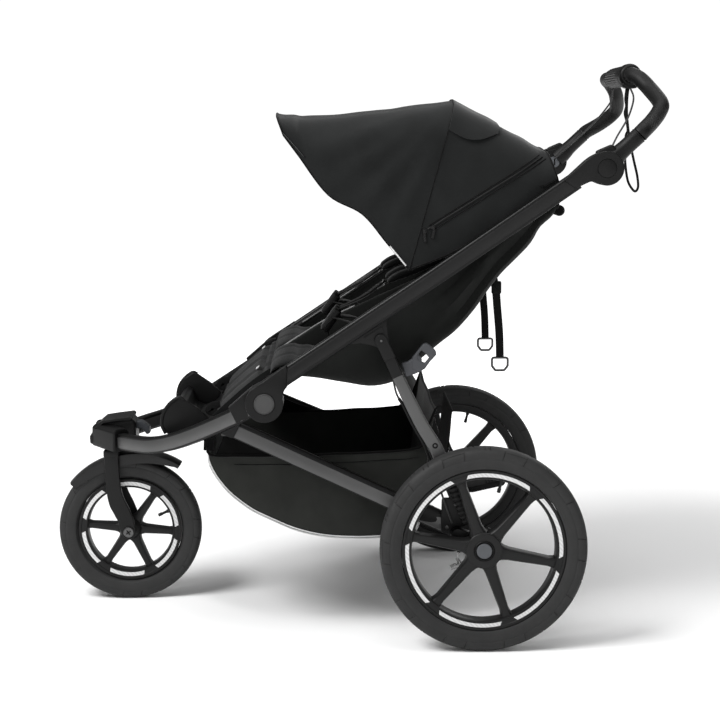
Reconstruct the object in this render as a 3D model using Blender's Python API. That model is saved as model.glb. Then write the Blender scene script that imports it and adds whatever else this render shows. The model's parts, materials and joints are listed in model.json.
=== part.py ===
"""Two-seat three-wheel jogging stroller, in metres, +Z up.

The stroller faces -Y and its left side is +X. The origin is on the ground, at the
middle of the object's box. Every side view point below is a (Y, Z) pair.
"""
import math

import bmesh
import bpy
from mathutils import Matrix, Vector

# ---- driving dimensions ---------------------------------------------------------------
REAR_WHEEL_RADIUS = 0.200          # 16 inch wheel
FRONT_WHEEL_RADIUS = 0.152         # 12 inch wheel
WHEELBASE = 0.7225
REAR_AXLE = (0.2565, REAR_WHEEL_RADIUS)
FRONT_AXLE = (REAR_AXLE[0] - WHEELBASE, FRONT_WHEEL_RADIUS)
REAR_WHEEL_X = 0.367               # half the track
TYRE_HALF_WIDTH = 0.023
RAIL_X = 0.345                     # middle plane of each seat rail
RAIL_THICKNESS = 0.025
RAIL_HEIGHT = 0.033
GAP = 0.0004                       # clearance between pieces that touch
WHEEL_SEGMENTS = 36

# ---- joint axes, all along X, as side view points -------------------------------------
FOLD_PIVOT = (-0.1625, 0.4832)     # main hub
LEG_PIVOT = (0.0594, 0.6023)       # rear leg on the seat rail
LOWER_REAR_PIVOT = (0.1910, 0.2330)
LOWER_FRONT_PIVOT = (-0.2500, 0.4150)
HANDLE_PIVOT = (0.4789, 0.9259)
SWING_PIVOT = (0.2090, 0.2190)
CASTER_Y = -0.5030                 # vertical steering axis
BACKREST_PIVOT = (0.1180, 0.5890)
PEDAL_PIVOT = (0.2500, 0.2660)
LEVER_PIVOT = (-0.4400, 0.3880)

SEAT_HALF_WIDTH = 0.306
BASKET_HALF_WIDTH = 0.250
SIDES = (("left", 1), ("right", -1))


# ---- small helpers --------------------------------------------------------------------
def clear_scene():
    for old in list(bpy.data.objects):
        bpy.data.objects.remove(old, do_unlink=True)


MATERIALS = {}


def material(name, colour, roughness, metallic=0.0):
    """One Principled material, made once for each name."""
    if name not in MATERIALS:
        made = bpy.data.materials.new(name)
        made.use_nodes = True
        shader = made.node_tree.nodes["Principled BSDF"]
        shader.inputs["Base Color"].default_value = (*colour, 1.0)
        shader.inputs["Roughness"].default_value = roughness
        shader.inputs["Metallic"].default_value = metallic
        MATERIALS[name] = made
    return MATERIALS[name]


def frame_metal():
    return material("frame_metal", (0.045, 0.045, 0.048), 0.42, 0.6)


def black_plastic():
    return material("black_plastic", (0.02, 0.02, 0.022), 0.45)


def grey_plastic():
    return material("grey_plastic", (0.10, 0.115, 0.13), 0.5)


def black_rubber():
    return material("black_rubber", (0.018, 0.018, 0.018), 0.7)


def black_fabric():
    return material("black_fabric", (0.012, 0.013, 0.012), 0.85)


def steel():
    return material("steel", (0.35, 0.35, 0.36), 0.3, 1.0)


def add_object(name, mesh_builder, finish, pivot=(0.0, 0.0, 0.0), cutter=False):
    """Turn a bmesh into an object whose origin is on its joint's axis."""
    mesh_builder.transform(Matrix.Translation(-Vector(pivot)))
    mesh_builder.normal_update()
    bmesh.ops.recalc_face_normals(mesh_builder, faces=mesh_builder.faces)
    mesh = bpy.data.meshes.new(name)
    mesh_builder.to_mesh(mesh)
    mesh_builder.free()
    made = bpy.data.objects.new(name, mesh)
    made.location = pivot
    bpy.context.scene.collection.objects.link(made)
    mesh.materials.append(finish)
    mesh.shade_smooth()
    mesh.set_sharp_from_angle(angle=math.radians(35))
    if cutter:
        made.hide_render = True
        made.display_type = "WIRE"
    return made


def combine(target, other, operation):
    """Exact boolean of a hidden helper object onto a target."""
    change = target.modifiers.new(operation.lower(), "BOOLEAN")
    change.operation = operation
    change.solver = "EXACT"
    change.object = other
    return target


def bevel(target, width, segments=1):
    change = target.modifiers.new("bevel", "BEVEL")
    change.width = width
    change.segments = segments
    change.limit_method = "ANGLE"
    change.angle_limit = math.radians(40)
    return target


def prism(outline, x_low, x_high):
    """A side view outline, extruded along X."""
    build = bmesh.new()
    low = [build.verts.new((x_low, y, z)) for y, z in outline]
    high = [build.verts.new((x_high, y, z)) for y, z in outline]
    build.faces.new(low)
    build.faces.new(list(reversed(high)))
    for i in range(len(outline)):
        j = (i + 1) % len(outline)
        build.faces.new((low[j], low[i], high[i], high[j]))
    return build


def span(side, x_low, x_high):
    """Two X values for one side of the stroller, lower value first."""
    return tuple(sorted((side * x_low, side * x_high)))


def arc(centre, radius, start, end, count):
    """Side view points along an arc, in degrees from +Y towards +Z."""
    points = []
    for i in range(count + 1):
        angle = math.radians(start + (end - start) * i / count)
        points.append((centre[0] + radius * math.cos(angle), centre[1] + radius * math.sin(angle)))
    return points


def thick_line(points, widths):
    """Outline round a side view polyline, with a full width at each point."""
    left, right = [], []
    for i, point in enumerate(points):
        before = points[max(i - 1, 0)]
        after = points[min(i + 1, len(points) - 1)]
        run = Vector((after[0] - before[0], after[1] - before[1])).normalized()
        width = widths[i] if isinstance(widths, (list, tuple)) else widths
        left.append((point[0] - run.y * width / 2, point[1] + run.x * width / 2))
        right.append((point[0] + run.y * width / 2, point[1] - run.x * width / 2))
    return left + list(reversed(right))


def offset_line(points, distance):
    """A side view polyline moved sideways, to the left of its direction."""
    moved = thick_line(points, 2 * distance)
    return moved[:len(points)]


def lathe(profile, centre, segments, first=0.0):
    """Turn a closed loop of (x, radius) points about an axis along X.

    The first ring is turned by that share of a segment: 0.5 puts a flat facet at the bottom.
    """
    build = bmesh.new()
    rings = []
    for i in range(segments):
        angle = 2 * math.pi * (i + first) / segments
        ring = [build.verts.new((centre[0] + x, centre[1] + r * math.cos(angle),
                                 centre[2] + r * math.sin(angle))) for x, r in profile]
        rings.append(ring)
    for i in range(segments):
        here, there = rings[i], rings[(i + 1) % segments]
        for j in range(len(profile)):
            k = (j + 1) % len(profile)
            build.faces.new((here[j], here[k], there[k], there[j]))
    return build


def rod(start, end, radius, segments=16, end_radius=None):
    """A straight round bar between two points."""
    start, end = Vector(start), Vector(end)
    build = bmesh.new()
    bmesh.ops.create_cone(build, cap_ends=True, segments=segments, radius1=radius,
                          radius2=radius if end_radius is None else end_radius,
                          depth=(end - start).length)
    turn = (end - start).to_track_quat("Z", "Y").to_matrix().to_4x4()
    build.transform(Matrix.Translation((start + end) / 2) @ turn)
    return build


def box(low, high):
    build = bmesh.new()
    bmesh.ops.create_cube(build, size=1.0)
    size = Vector(high) - Vector(low)
    build.transform(Matrix.Translation((Vector(low) + Vector(high)) / 2) @ Matrix.Diagonal((*size, 1.0)))
    return build


def smooth_route(points, steps):
    """Catmull-Rom curve through a few hand-placed points."""
    points = [Vector(p) for p in points]
    padded = [2 * points[0] - points[1], *points, 2 * points[-1] - points[-2]]
    route = []
    for i in range(1, len(padded) - 2):
        a, b, c, d = padded[i - 1:i + 3]
        for k in range(steps):
            t = k / steps
            route.append(0.5 * (2 * b + (c - a) * t + (2 * a - 5 * b + 4 * c - d) * t ** 2
                                + (3 * b - a - 3 * c + d) * t ** 3))
    route.append(points[-1])
    return route


def flat_bar(route, height, thickness):
    """Sweep an upright rectangle along a route; height stays near the vertical plane."""
    build = bmesh.new()
    rings = []
    for i, point in enumerate(route):
        run = (route[min(i + 1, len(route) - 1)] - route[max(i - 1, 0)]).normalized()
        across = run.cross(Vector((0, 0, 1))).normalized()
        up = across.cross(run).normalized()
        corners = ((1, 1), (1, -1), (-1, -1), (-1, 1))
        rings.append([build.verts.new(point + across * a * thickness / 2 + up * b * height / 2)
                      for a, b in corners])
    for here, there in zip(rings, rings[1:]):
        for j in range(4):
            k = (j + 1) % 4
            build.faces.new((here[j], here[k], there[k], there[j]))
    build.faces.new(rings[0])
    build.faces.new(list(reversed(rings[-1])))
    return build


def ribbed_rod(start, end, radii, sides):
    """A straight rod whose radius changes from ring to ring."""
    run = (end - start).normalized().to_track_quat("Z", "Y")
    build = bmesh.new()
    rings = []
    for i, radius in enumerate(radii):
        centre = start.lerp(end, i / (len(radii) - 1))
        rings.append([build.verts.new(centre + run @ Vector((radius * math.cos(a), radius * math.sin(a), 0)))
                      for a in (2 * math.pi * k / sides for k in range(sides))])
    for here, there in zip(rings, rings[1:]):
        for j in range(sides):
            k = (j + 1) % sides
            build.faces.new((here[j], here[k], there[k], there[j]))
    build.faces.new(rings[0])
    build.faces.new(list(reversed(rings[-1])))
    return build


def side_ring(centre, half_width, half_height, thickness, count=16, sides=8):
    """An oval ring of round wire that faces the side of the stroller."""
    build = bmesh.new()
    rings = []
    for i in range(count):
        angle = 2 * math.pi * i / count
        out = Vector((0, math.cos(angle), math.sin(angle)))
        middle = Vector(centre) + Vector((0, out.y * half_width, out.z * half_height))
        rings.append([build.verts.new(middle + out * thickness * math.cos(a)
                                      + Vector((1, 0, 0)) * thickness * math.sin(a))
                      for a in (2 * math.pi * k / sides for k in range(sides))])
    for i in range(count):
        here, there = rings[i], rings[(i + 1) % count]
        for j in range(sides):
            k = (j + 1) % sides
            build.faces.new((here[j], there[j], there[k], here[k]))
    return build


def cord(name, route, radius, finish):
    """A round cord as a curve object with closed ends."""
    data = bpy.data.curves.new(name, "CURVE")
    data.dimensions = "3D"
    data.bevel_depth = radius
    data.bevel_resolution = 2
    data.use_fill_caps = True
    line = data.splines.new("POLY")
    line.points.add(len(route) - 1)
    for spot, point in zip(line.points, route):
        spot.co = (*point, 1.0)
    data.materials.append(finish)
    made = bpy.data.objects.new(name, data)
    bpy.context.scene.collection.objects.link(made)
    return made


# ---- wheels ---------------------------------------------------------------------------
def tyre_profile(radius, bead_radius, half_width, count=8):
    """Closed, slightly squared oval section of a tyre, as (x, radius) points."""
    middle = (radius + bead_radius) / 2
    half_height = (radius - bead_radius) / 2
    points = []
    for i in range(count):
        angle = 2 * math.pi * (i + 0.5) / count
        c, s = math.cos(angle), math.sin(angle)
        points.append((half_width * math.copysign(abs(c) ** 0.8, c),
                       middle + half_height * math.copysign(abs(s) ** 0.8, s)))
    return points


def tyre(name, centre, radius, bead_radius, half_width):
    """Tyre that stands on a flat facet of its tread."""
    tread_radius = radius / math.cos(math.pi / WHEEL_SEGMENTS)
    profile = tyre_profile(radius, bead_radius, half_width)
    tallest = max(r for x, r in profile)
    middle = (radius + bead_radius) / 2
    profile = [(x, r + (tread_radius - tallest) if r > middle else r / math.cos(math.pi / WHEEL_SEGMENTS))
               for x, r in profile]
    return add_object(name, lathe(profile, centre, WHEEL_SEGMENTS, 0.5), black_rubber(), centre)


def rim(name, centre, outer, inner, hub_radius, bore, start_angle):
    """Ring, six tapered spokes and hub, joined into one wheel, with a bored hub."""
    half = 0.015
    profile = [(half, outer), (half, inner), (-half, inner), (-half, outer)]
    wheel = add_object(name, lathe(profile, centre, WHEEL_SEGMENTS, 0.5), frame_metal(), centre)
    cx, cy, cz = centre
    hub = rod((cx - 0.020, cy, cz), (cx + 0.020, cy, cz), hub_radius, 24)
    combine(wheel, add_object(name + "_hub_tool", hub, frame_metal(), centre, True), "UNION")
    for i in range(6):
        angle = math.radians(start_angle + 60 * i)
        out = Vector((0, math.cos(angle), math.sin(angle)))
        side = Vector((0, -math.sin(angle), math.cos(angle)))
        near, far = hub_radius * 0.7, inner + 0.004
        outline = []
        for reach, half_width in ((near, 0.0115), (far, 0.0085)):
            for s in (1, -1):
                point = Vector(centre) + out * reach + side * half_width * s
                outline.append((point.y, point.z))
        outline = [outline[0], outline[1], outline[3], outline[2]]
        spoke = prism(outline, cx - 0.007, cx + 0.010)
        tool = add_object(f"{name}_spoke_tool_{i}", spoke, frame_metal(), centre, True)
        combine(wheel, tool, "UNION")
    hole = rod((cx - 0.03, cy, cz), (cx + 0.03, cy, cz), bore, 16)
    combine(wheel, add_object(name + "_bore_tool", hole, steel(), centre, True), "DIFFERENCE")
    return wheel


def rear_wheels():
    for side_name, side in SIDES:
        centre = (side * REAR_WHEEL_X, *REAR_AXLE)
        tyre(f"rear_tyre_{side_name}", centre, REAR_WHEEL_RADIUS, 0.1585, TYRE_HALF_WIDTH)
        wheel = rim(f"rear_rim_{side_name}", centre, 0.1580, 0.1385, 0.0340, 0.0080, 49)
        seat_low, seat_high = span(side, REAR_WHEEL_X + 0.014, REAR_WHEEL_X + 0.030)
        pocket = rod((seat_low, *REAR_AXLE), (seat_high, *REAR_AXLE), 0.0160, 20)
        combine(wheel, add_object(f"button_pocket_tool_{side_name}", pocket, steel(), centre, True),
                "DIFFERENCE")
        low, high = span(side, REAR_WHEEL_X + 0.0175, REAR_WHEEL_X + 0.0245)
        button = rod((low, *REAR_AXLE), (high, *REAR_AXLE), 0.0152, 20)
        add_object(f"release_button_{side_name}", button, grey_plastic(), centre)


def front_wheel():
    centre = (0.0, *FRONT_AXLE)
    tyre("front_tyre", centre, FRONT_WHEEL_RADIUS, 0.1105, 0.0215)
    rim("front_rim", centre, 0.1100, 0.0910, 0.0240, 0.0065, 55)
    y, z = FRONT_AXLE
    shaft = rod((-0.0455, y, z), (0.0455, y, z), 0.0055, 12)
    axle = add_object("front_axle", shaft, steel(), centre)
    for side_name, side in SIDES:
        low, high = span(side, 0.0408, 0.0465)
        head = add_object(f"axle_head_tool_{side_name}", rod((low, y, z), (high, y, z), 0.0115, 16),
                          steel(), centre, True)
        combine(axle, head, "UNION")


# ---- front fork, fender and head ------------------------------------------------------
def front_fork():
    """Two bent flat blades, a crown over the tyre and a stem into the head."""
    blade = [(-0.5150, 0.3260), (-0.5120, 0.2500), (-0.5060, 0.2120), (-0.4860, 0.1700),
             *arc(FRONT_AXLE, 0.0160, 190, 350, 5),
             (-0.4530, 0.1900), (-0.4760, 0.2260), (-0.4830, 0.2600), (-0.4850, 0.3260)]
    pivot = (0.0, CASTER_Y, 0.0)
    fork = add_object("front_fork", prism(blade, 0.0310, 0.0400), frame_metal(), pivot)
    far = add_object("fork_blade_tool", prism(blade, -0.0400, -0.0310), frame_metal(), pivot, True)
    crown_low, crown_high = (-0.0400, -0.5150, 0.3168), (0.0400, -0.4850, 0.3280)
    crown = add_object("fork_crown_tool", box(crown_low, crown_high), frame_metal(), pivot, True)
    stem = rod((0, CASTER_Y, 0.3200), (0, CASTER_Y, 0.3560), 0.0110, 16)
    stem = add_object("fork_stem_tool", stem, steel(), pivot, True)
    for tool in (crown, far, stem):
        combine(fork, tool, "UNION")
    y, z = FRONT_AXLE
    hole = add_object("fork_bore_tool", rod((-0.06, y, z), (0.06, y, z), 0.0060, 12), steel(), pivot, True)
    combine(fork, hole, "DIFFERENCE")


def front_fender():
    """Curved guard over the front tyre, flaring a little towards the rear."""
    count = 14
    outer, inner = [], []
    for i in range(count + 1):
        t = i / count
        angle = math.radians(141 + (52 - 141) * t)
        radius = 0.1575 + 0.0185 * max(0.0, t - 0.35) / 0.65
        y, z = FRONT_AXLE
        outer.append((y + (radius + 0.0030) * math.cos(angle), z + (radius + 0.0030) * math.sin(angle)))
        inner.append((y + radius * math.cos(angle), z + radius * math.sin(angle)))
    build = prism(outer + list(reversed(inner)), -0.0270, 0.0270)
    add_object("front_fender", build, black_plastic(), (0.0, CASTER_Y, 0.0))


def front_head():
    """Moulded head that clamps both front arms and holds the steering stem."""
    wedge = [(-0.5450, 0.3420), (-0.5460, 0.3560), (-0.5300, 0.3900), (-0.5180, 0.4030),
             (-0.4550, 0.4110), (-0.4450, 0.3980), (-0.4480, 0.3300), (-0.5200, 0.3300)]
    head = add_object("front_housing", prism(wedge, -0.0480, 0.0480), black_plastic())
    cup = rod((0, CASTER_Y, 0.3285), (0, CASTER_Y, 0.3400), 0.0230, 20, 0.0260)
    combine(head, add_object("head_cup_tool", cup, black_plastic(), cutter=True), "UNION")
    for side_name, side in SIDES:
        start = Vector((side * 0.030, -0.508, 0.3555))
        end = Vector((side * 0.0740, -0.4745, 0.3555))
        collar = flat_bar([start, end], 0.0440, 0.0340)
        tool = add_object(f"head_collar_tool_{side_name}", collar, black_plastic(), cutter=True)
        combine(head, tool, "UNION")
    hole = rod((0, CASTER_Y, 0.3250), (0, CASTER_Y, 0.3570), 0.0115, 16)
    combine(head, add_object("head_bore_tool", hole, steel(), cutter=True), "DIFFERENCE")
    low, high = (-0.0165, -0.4700, 0.3690), (0.0165, -0.4300, 0.3930)
    slot = add_object("lever_slot_tool", box(low, high), black_plastic(), cutter=True)
    combine(head, slot, "DIFFERENCE")
    lever = [(-0.4660, 0.3900), (-0.4380, 0.3920), (-0.4220, 0.3800), (-0.4200, 0.3660),
             (-0.4270, 0.3640), (-0.4360, 0.3770), (-0.4660, 0.3780)]
    pivot = (0.0, *LEVER_PIVOT)
    bevel(add_object("swivel_lock_lever", prism(lever, -0.0150, 0.0150), grey_plastic(), pivot), 0.002)


FRONT_ARM_ROUTE = [(0.0790, -0.4708, 0.3556), (0.1250, -0.4380, 0.3600), (0.1700, -0.4000, 0.3660),
                   (0.2150, -0.3550, 0.3810), (0.2600, -0.3050, 0.4050), (0.3000, -0.2580, 0.4310),
                   (0.3260, -0.2200, 0.4530), (0.3300, -0.1960, 0.4670)]


def front_arms():
    """Flat tubes that sweep out and back from the head to the two hubs."""
    for side_name, side in SIDES:
        route = [Vector((side * x, y, z)) for x, y, z in FRONT_ARM_ROUTE]
        bar = flat_bar(smooth_route(route, 2), 0.0340, 0.0210)
        pivot = (side * RAIL_X, *FOLD_PIVOT)
        arm = add_object(f"front_arm_{side_name}", bar, frame_metal(), pivot)
        low, high = span(side, 0.3190, 0.3400)
        eye = rod((low, *FOLD_PIVOT), (high, *FOLD_PIVOT), 0.0330, 24)
        neck = prism(thick_line([(-0.2060, 0.4600), FOLD_PIVOT], 0.0400), low, high)
        for number, shape in enumerate((eye, neck)):
            tool = add_object(f"arm_eye_tool_{side_name}_{number}", shape, black_plastic(), pivot, True)
            combine(arm, tool, "UNION")


def footrest():
    """Moulded step in front of the calf rest, carried by the front arms."""
    shell = [(-0.3650, 0.4230), (-0.3500, 0.4330), (-0.3420, 0.4250), (-0.3350, 0.4000),
             (-0.3150, 0.3900), (-0.2950, 0.3960), (-0.2750, 0.4180), (-0.2700, 0.4120),
             (-0.2900, 0.3860), (-0.3140, 0.3790), (-0.3420, 0.3870), (-0.3550, 0.4000)]
    add_object("footrest", prism(shell, -0.1700, 0.1700), black_plastic())


# ---- hubs, seat rails and handle joints -----------------------------------------------
RAIL_ROUTE = [(-0.1190, 0.5355), (0.1620, 0.7230), (0.4105, 0.8935)]


def seat_rails():
    """Hub casting, straight rail and handle joint casting on each side."""
    half = RAIL_THICKNESS / 2
    for side_name, side in SIDES:
        low, high = span(side, RAIL_X - half, RAIL_X + half)
        rail = prism(thick_line(RAIL_ROUTE, RAIL_HEIGHT), low, high)
        bevel(add_object(f"seat_rail_{side_name}", rail, frame_metal()), 0.003)

        disc_low, disc_high = span(side, 0.3410, 0.3680)
        disc = rod((disc_low, *FOLD_PIVOT), (disc_high, *FOLD_PIVOT), 0.0360, 28)
        hub = add_object(f"hub_{side_name}", disc, black_plastic(), (side * RAIL_X, *FOLD_PIVOT))
        neck_line = [(-0.1700, 0.4900), (-0.1480, 0.5120), (-0.1220, 0.5332)]
        neck = prism(thick_line(neck_line, [0.058, 0.048, 0.036]), *span(side, 0.3412, 0.3595))
        tool = add_object(f"hub_neck_tool_{side_name}", neck, black_plastic(), cutter=True)
        combine(hub, tool, "UNION")
        cap_low, cap_high = span(side, 0.3670, 0.3700)
        cap = rod((cap_low, *FOLD_PIVOT), (cap_high, *FOLD_PIVOT), 0.0200, 24)
        combine(hub, add_object(f"hub_cap_tool_{side_name}", cap, black_plastic(), cutter=True), "UNION")

        joint_low, joint_high = span(side, 0.3440, 0.3700)
        disc = rod((joint_low, *HANDLE_PIVOT), (joint_high, *HANDLE_PIVOT), 0.0320, 28)
        joint = add_object(f"handle_joint_{side_name}", disc, black_plastic())
        neck = prism(thick_line([(0.4130, 0.8952), (0.4400, 0.9080), HANDLE_PIVOT],
                                [0.0340, 0.0380, 0.0500]), *span(side, 0.3442, 0.3620))
        tool = add_object(f"joint_neck_tool_{side_name}", neck, black_plastic(), cutter=True)
        combine(joint, tool, "UNION")


# ---- rear legs, lower tubes and suspension --------------------------------------------
LEG_ROUTE = [(0.0594, 0.6023), (0.0739, 0.5720), (0.1148, 0.4850), (0.1480, 0.4230),
             (0.1656, 0.3877), (0.1850, 0.3300), (0.1920, 0.2900)]


def rear_legs():
    for side_name, side in SIDES:
        pivot = (side * RAIL_X, *LEG_PIVOT)
        low, high = span(side, 0.3440, 0.3600)
        gusset = [(-0.0060, 0.5940), (0.0690, 0.6440), (0.0740, 0.6020),
                  *arc(LEG_PIVOT, 0.0150, 0, -110, 3), (0.0200, 0.5980)]
        bracket = prism(gusset, low, high)
        bracket = add_object(f"leg_bracket_{side_name}", bracket, black_plastic())
        rail_low, rail_high = span(side, RAIL_X - 0.02, RAIL_X + 0.02)
        clearance = prism(thick_line(RAIL_ROUTE, RAIL_HEIGHT + 2 * GAP), rail_low, rail_high)
        tool = add_object(f"bracket_rail_tool_{side_name}", clearance, steel(), cutter=True)
        combine(bracket, tool, "DIFFERENCE")

        low, high = span(side, 0.3260, 0.3420)
        outline = thick_line(LEG_ROUTE, [0.0240, 0.0240, 0.0250, 0.0260, 0.0280, 0.0290, 0.0290])
        leg = add_object(f"rear_leg_{side_name}", prism(outline, *span(side, 0.3240, 0.3400)),
                         frame_metal(), pivot)
        eye = rod((low, *LEG_PIVOT), (high, *LEG_PIVOT), 0.0150, 20)
        combine(leg, add_object(f"leg_eye_tool_{side_name}", eye, black_plastic(), pivot, True), "UNION")

        casting = [(0.1770, 0.2885), (0.2060, 0.2895), (0.2360, 0.2700), (0.2440, 0.2500),
                   (0.2300, 0.2360), (0.2180, 0.2300), (0.2000, 0.2130), (0.1780, 0.2200)]
        knuckle = prism(casting, *span(side, 0.3140, 0.3190))
        knuckle = add_object(f"knuckle_{side_name}", knuckle, black_plastic(), pivot)
        socket = prism([(0.1775, 0.2830), (0.2060, 0.2830), (0.2060, 0.2650), (0.1800, 0.2650)],
                       *span(side, 0.3150, 0.3395))
        tool = add_object(f"knuckle_socket_tool_{side_name}", socket, black_plastic(), cutter=True)
        combine(knuckle, tool, "UNION")

    tube = rod((-0.3136, 0.2290, 0.2540), (0.3136, 0.2290, 0.2540), 0.0110, 16)
    add_object("rear_cross_tube", tube, frame_metal())


def fold_catch():
    """Hooked plastic catch with a window, on the left rear leg."""
    outer = [(0.1300, 0.5160), (0.1490, 0.5330), (0.1560, 0.5450), (0.1670, 0.5700),
             (0.1640, 0.5800), (0.1460, 0.5900), (0.1380, 0.5880), (0.1270, 0.5610),
             (0.1180, 0.5490), (0.1060, 0.5400)]
    catch = add_object("fold_catch", prism(outer, 0.3245, 0.3395), grey_plastic())
    window = [(0.1380, 0.5480), (0.1460, 0.5440), (0.1560, 0.5660), (0.1450, 0.5740)]
    hole = add_object("catch_window_tool", prism(window, 0.30, 0.36), steel(), cutter=True)
    combine(catch, hole, "DIFFERENCE")
    leg_space = prism(thick_line(LEG_ROUTE, 0.0275), 0.32, 0.345)
    combine(catch, add_object("catch_leg_tool", leg_space, steel(), cutter=True), "DIFFERENCE")


def lower_tubes():
    """Flat tubes from under the front arms back to the rear axle castings."""
    for side_name, side in SIDES:
        front = Vector((side * 0.2520, *LOWER_FRONT_PIVOT))
        rear = Vector((side * 0.3040, *LOWER_REAR_PIVOT))
        route = [front, Vector((side * 0.2560, -0.2200, 0.4290)), Vector((side * 0.2600, -0.1800, 0.4205)),
                 Vector((side * 0.2880, 0.0600, 0.2935)), rear]
        pivot = tuple(rear)
        tube = add_object(f"lower_tube_{side_name}", flat_bar(route, 0.0340, 0.0180), frame_metal(), pivot)
        low, high = span(side, 0.2440, 0.2600)
        eye = rod((low, *LOWER_FRONT_PIVOT), (high, *LOWER_FRONT_PIVOT), 0.0130, 16)
        low, high = span(side, 0.2940, 0.3122)
        heel = rod((low, *LOWER_REAR_PIVOT), (high, *LOWER_REAR_PIVOT), 0.0185, 20)
        for number, shape in enumerate((eye, heel)):
            tool = add_object(f"lower_eye_tool_{side_name}_{number}", shape, black_plastic(), pivot, True)
            combine(tube, tool, "UNION")


def suspension():
    """Short swing arm with a wheel stub on each side, and its rubber spring."""
    for side_name, side in SIDES:
        pivot = (side * 0.330, *SWING_PIVOT)
        outline = [*arc(SWING_PIVOT, 0.0130, 80, 280, 6), *arc(REAR_AXLE, 0.0170, -80, 80, 6)]
        low, high = span(side, 0.3235, 0.3390)
        arm = add_object(f"swing_arm_{side_name}", prism(outline, low, high), black_plastic(), pivot)
        stub_low, stub_high = span(side, 0.3300, REAR_WHEEL_X + 0.0120)
        stub = rod((stub_low, *REAR_AXLE), (stub_high, *REAR_AXLE), 0.0074, 16)
        shoulder_low, shoulder_high = span(side, 0.3300, REAR_WHEEL_X - 0.0205)
        shoulder = rod((shoulder_low, *REAR_AXLE), (shoulder_high, *REAR_AXLE), 0.0140, 16)
        for number, shape in enumerate((stub, shoulder)):
            tool = add_object(f"stub_tool_{side_name}_{number}", shape, steel(), pivot, True)
            combine(arm, tool, "UNION")
        top, bottom = Vector((side * 0.3320, 0.2170, 0.3130)), Vector((side * 0.3320, 0.2400, 0.2240))
        build = ribbed_rod(top, bottom, [0.0125, 0.0105] * 4, 14)
        spring = add_object(f"suspension_spring_{side_name}", build, black_rubber())
        low, high = span(side, 0.30, 0.345)
        keep_off = prism([(0.19, 0.2475), (0.2500, 0.2475), (0.2500, 0.20), (0.19, 0.20)], low, high)
        tool = add_object(f"spring_trim_tool_{side_name}", keep_off, steel(), cutter=True)
        combine(spring, tool, "DIFFERENCE")
        leg_space = prism([(0.15, 0.33), (0.2068, 0.33), (0.2068, 0.25), (0.15, 0.25)], low, high)
        tool = add_object(f"spring_leg_tool_{side_name}", leg_space, steel(), cutter=True)
        combine(spring, tool, "DIFFERENCE")


def parking_brake():
    """Foot pedal that turns on the rear cross tube's bracket."""
    pedal = [(0.2440, 0.2700), (0.2560, 0.2720), (0.3150, 0.2860), (0.3230, 0.2800),
             (0.3180, 0.2740), (0.2560, 0.2600), (0.2460, 0.2600)]
    pivot = (0.0, *PEDAL_PIVOT)
    bevel(add_object("parking_brake_pedal", prism(pedal, 0.0700, 0.1500), grey_plastic(), pivot), 0.0015)


# ---- handlebar ------------------------------------------------------------------------
GRIP_HALF = [(0.3290, 0.5450, 0.9880), (0.3250, 0.5530, 0.9955), (0.2880, 0.5760, 1.0120),
             (0.2550, 0.5960, 1.0310), (0.2340, 0.6035, 1.0480), (0.1850, 0.5920, 1.0760),
             (0.1620, 0.5770, 1.0960), (0.1420, 0.5650, 1.1050), (0.1200, 0.5640, 1.1055),
             (0.0450, 0.5640, 1.1055)]


def handlebar():
    """One bent, padded bar, its two tilting arms, and the twist brake at its middle."""
    pivot = (0.0, *HANDLE_PIVOT)
    half = [Vector(p) for p in GRIP_HALF]
    whole = half + [Vector((-p.x, p.y, p.z)) for p in reversed(half)]
    route = smooth_route(whole, 3)
    cord("handlebar_grip", route, 0.0155, black_rubber())
    for side_name, side in SIDES:
        low, high = span(side, 0.3200, 0.3435)
        disc = rod((low, *HANDLE_PIVOT), (high, *HANDLE_PIVOT), 0.0290, 24)
        arm = add_object(f"handle_arm_{side_name}", disc, black_plastic(), pivot)
        start = Vector((side * 0.3260, HANDLE_PIVOT[0] + 0.006, HANDLE_PIVOT[1] + 0.006))
        end = Vector((side * GRIP_HALF[0][0], GRIP_HALF[0][1], GRIP_HALF[0][2]))
        end += (start - end).normalized() * 0.0045
        tool = add_object(f"ferrule_tool_{side_name}", rod(start, end, 0.0150, 20), black_plastic(), pivot, True)
        combine(arm, tool, "UNION")
        pocket = rod((side * 0.3100, *HANDLE_PIVOT), (side * 0.3250, *HANDLE_PIVOT), 0.0130, 20)
        combine(arm, add_object(f"tilt_pocket_tool_{side_name}", pocket, steel(), pivot, True), "DIFFERENCE")
        low, high = span(side, 0.3170, 0.3215)
        button = rod((low, *HANDLE_PIVOT), (high, *HANDLE_PIVOT), 0.0125, 20)
        add_object(f"tilt_button_{side_name}", button, grey_plastic(), pivot)
    bar = (0.0, *GRIP_HALF[-1][1:])
    sleeve = [(0.0984, 0.0225), (0.0984, 0.0176), (0.1320, 0.0176), (0.1320, 0.0225)]
    add_object("twist_brake_housing", lathe(sleeve, bar, 24), black_plastic(), bar)
    ring = [(-0.0600, 0.0210), (-0.0600, 0.0176), (0.0980, 0.0176), (0.0980, 0.0210)]
    add_object("twist_brake_ring", lathe(ring, bar, 24), black_rubber(), bar)


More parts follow.
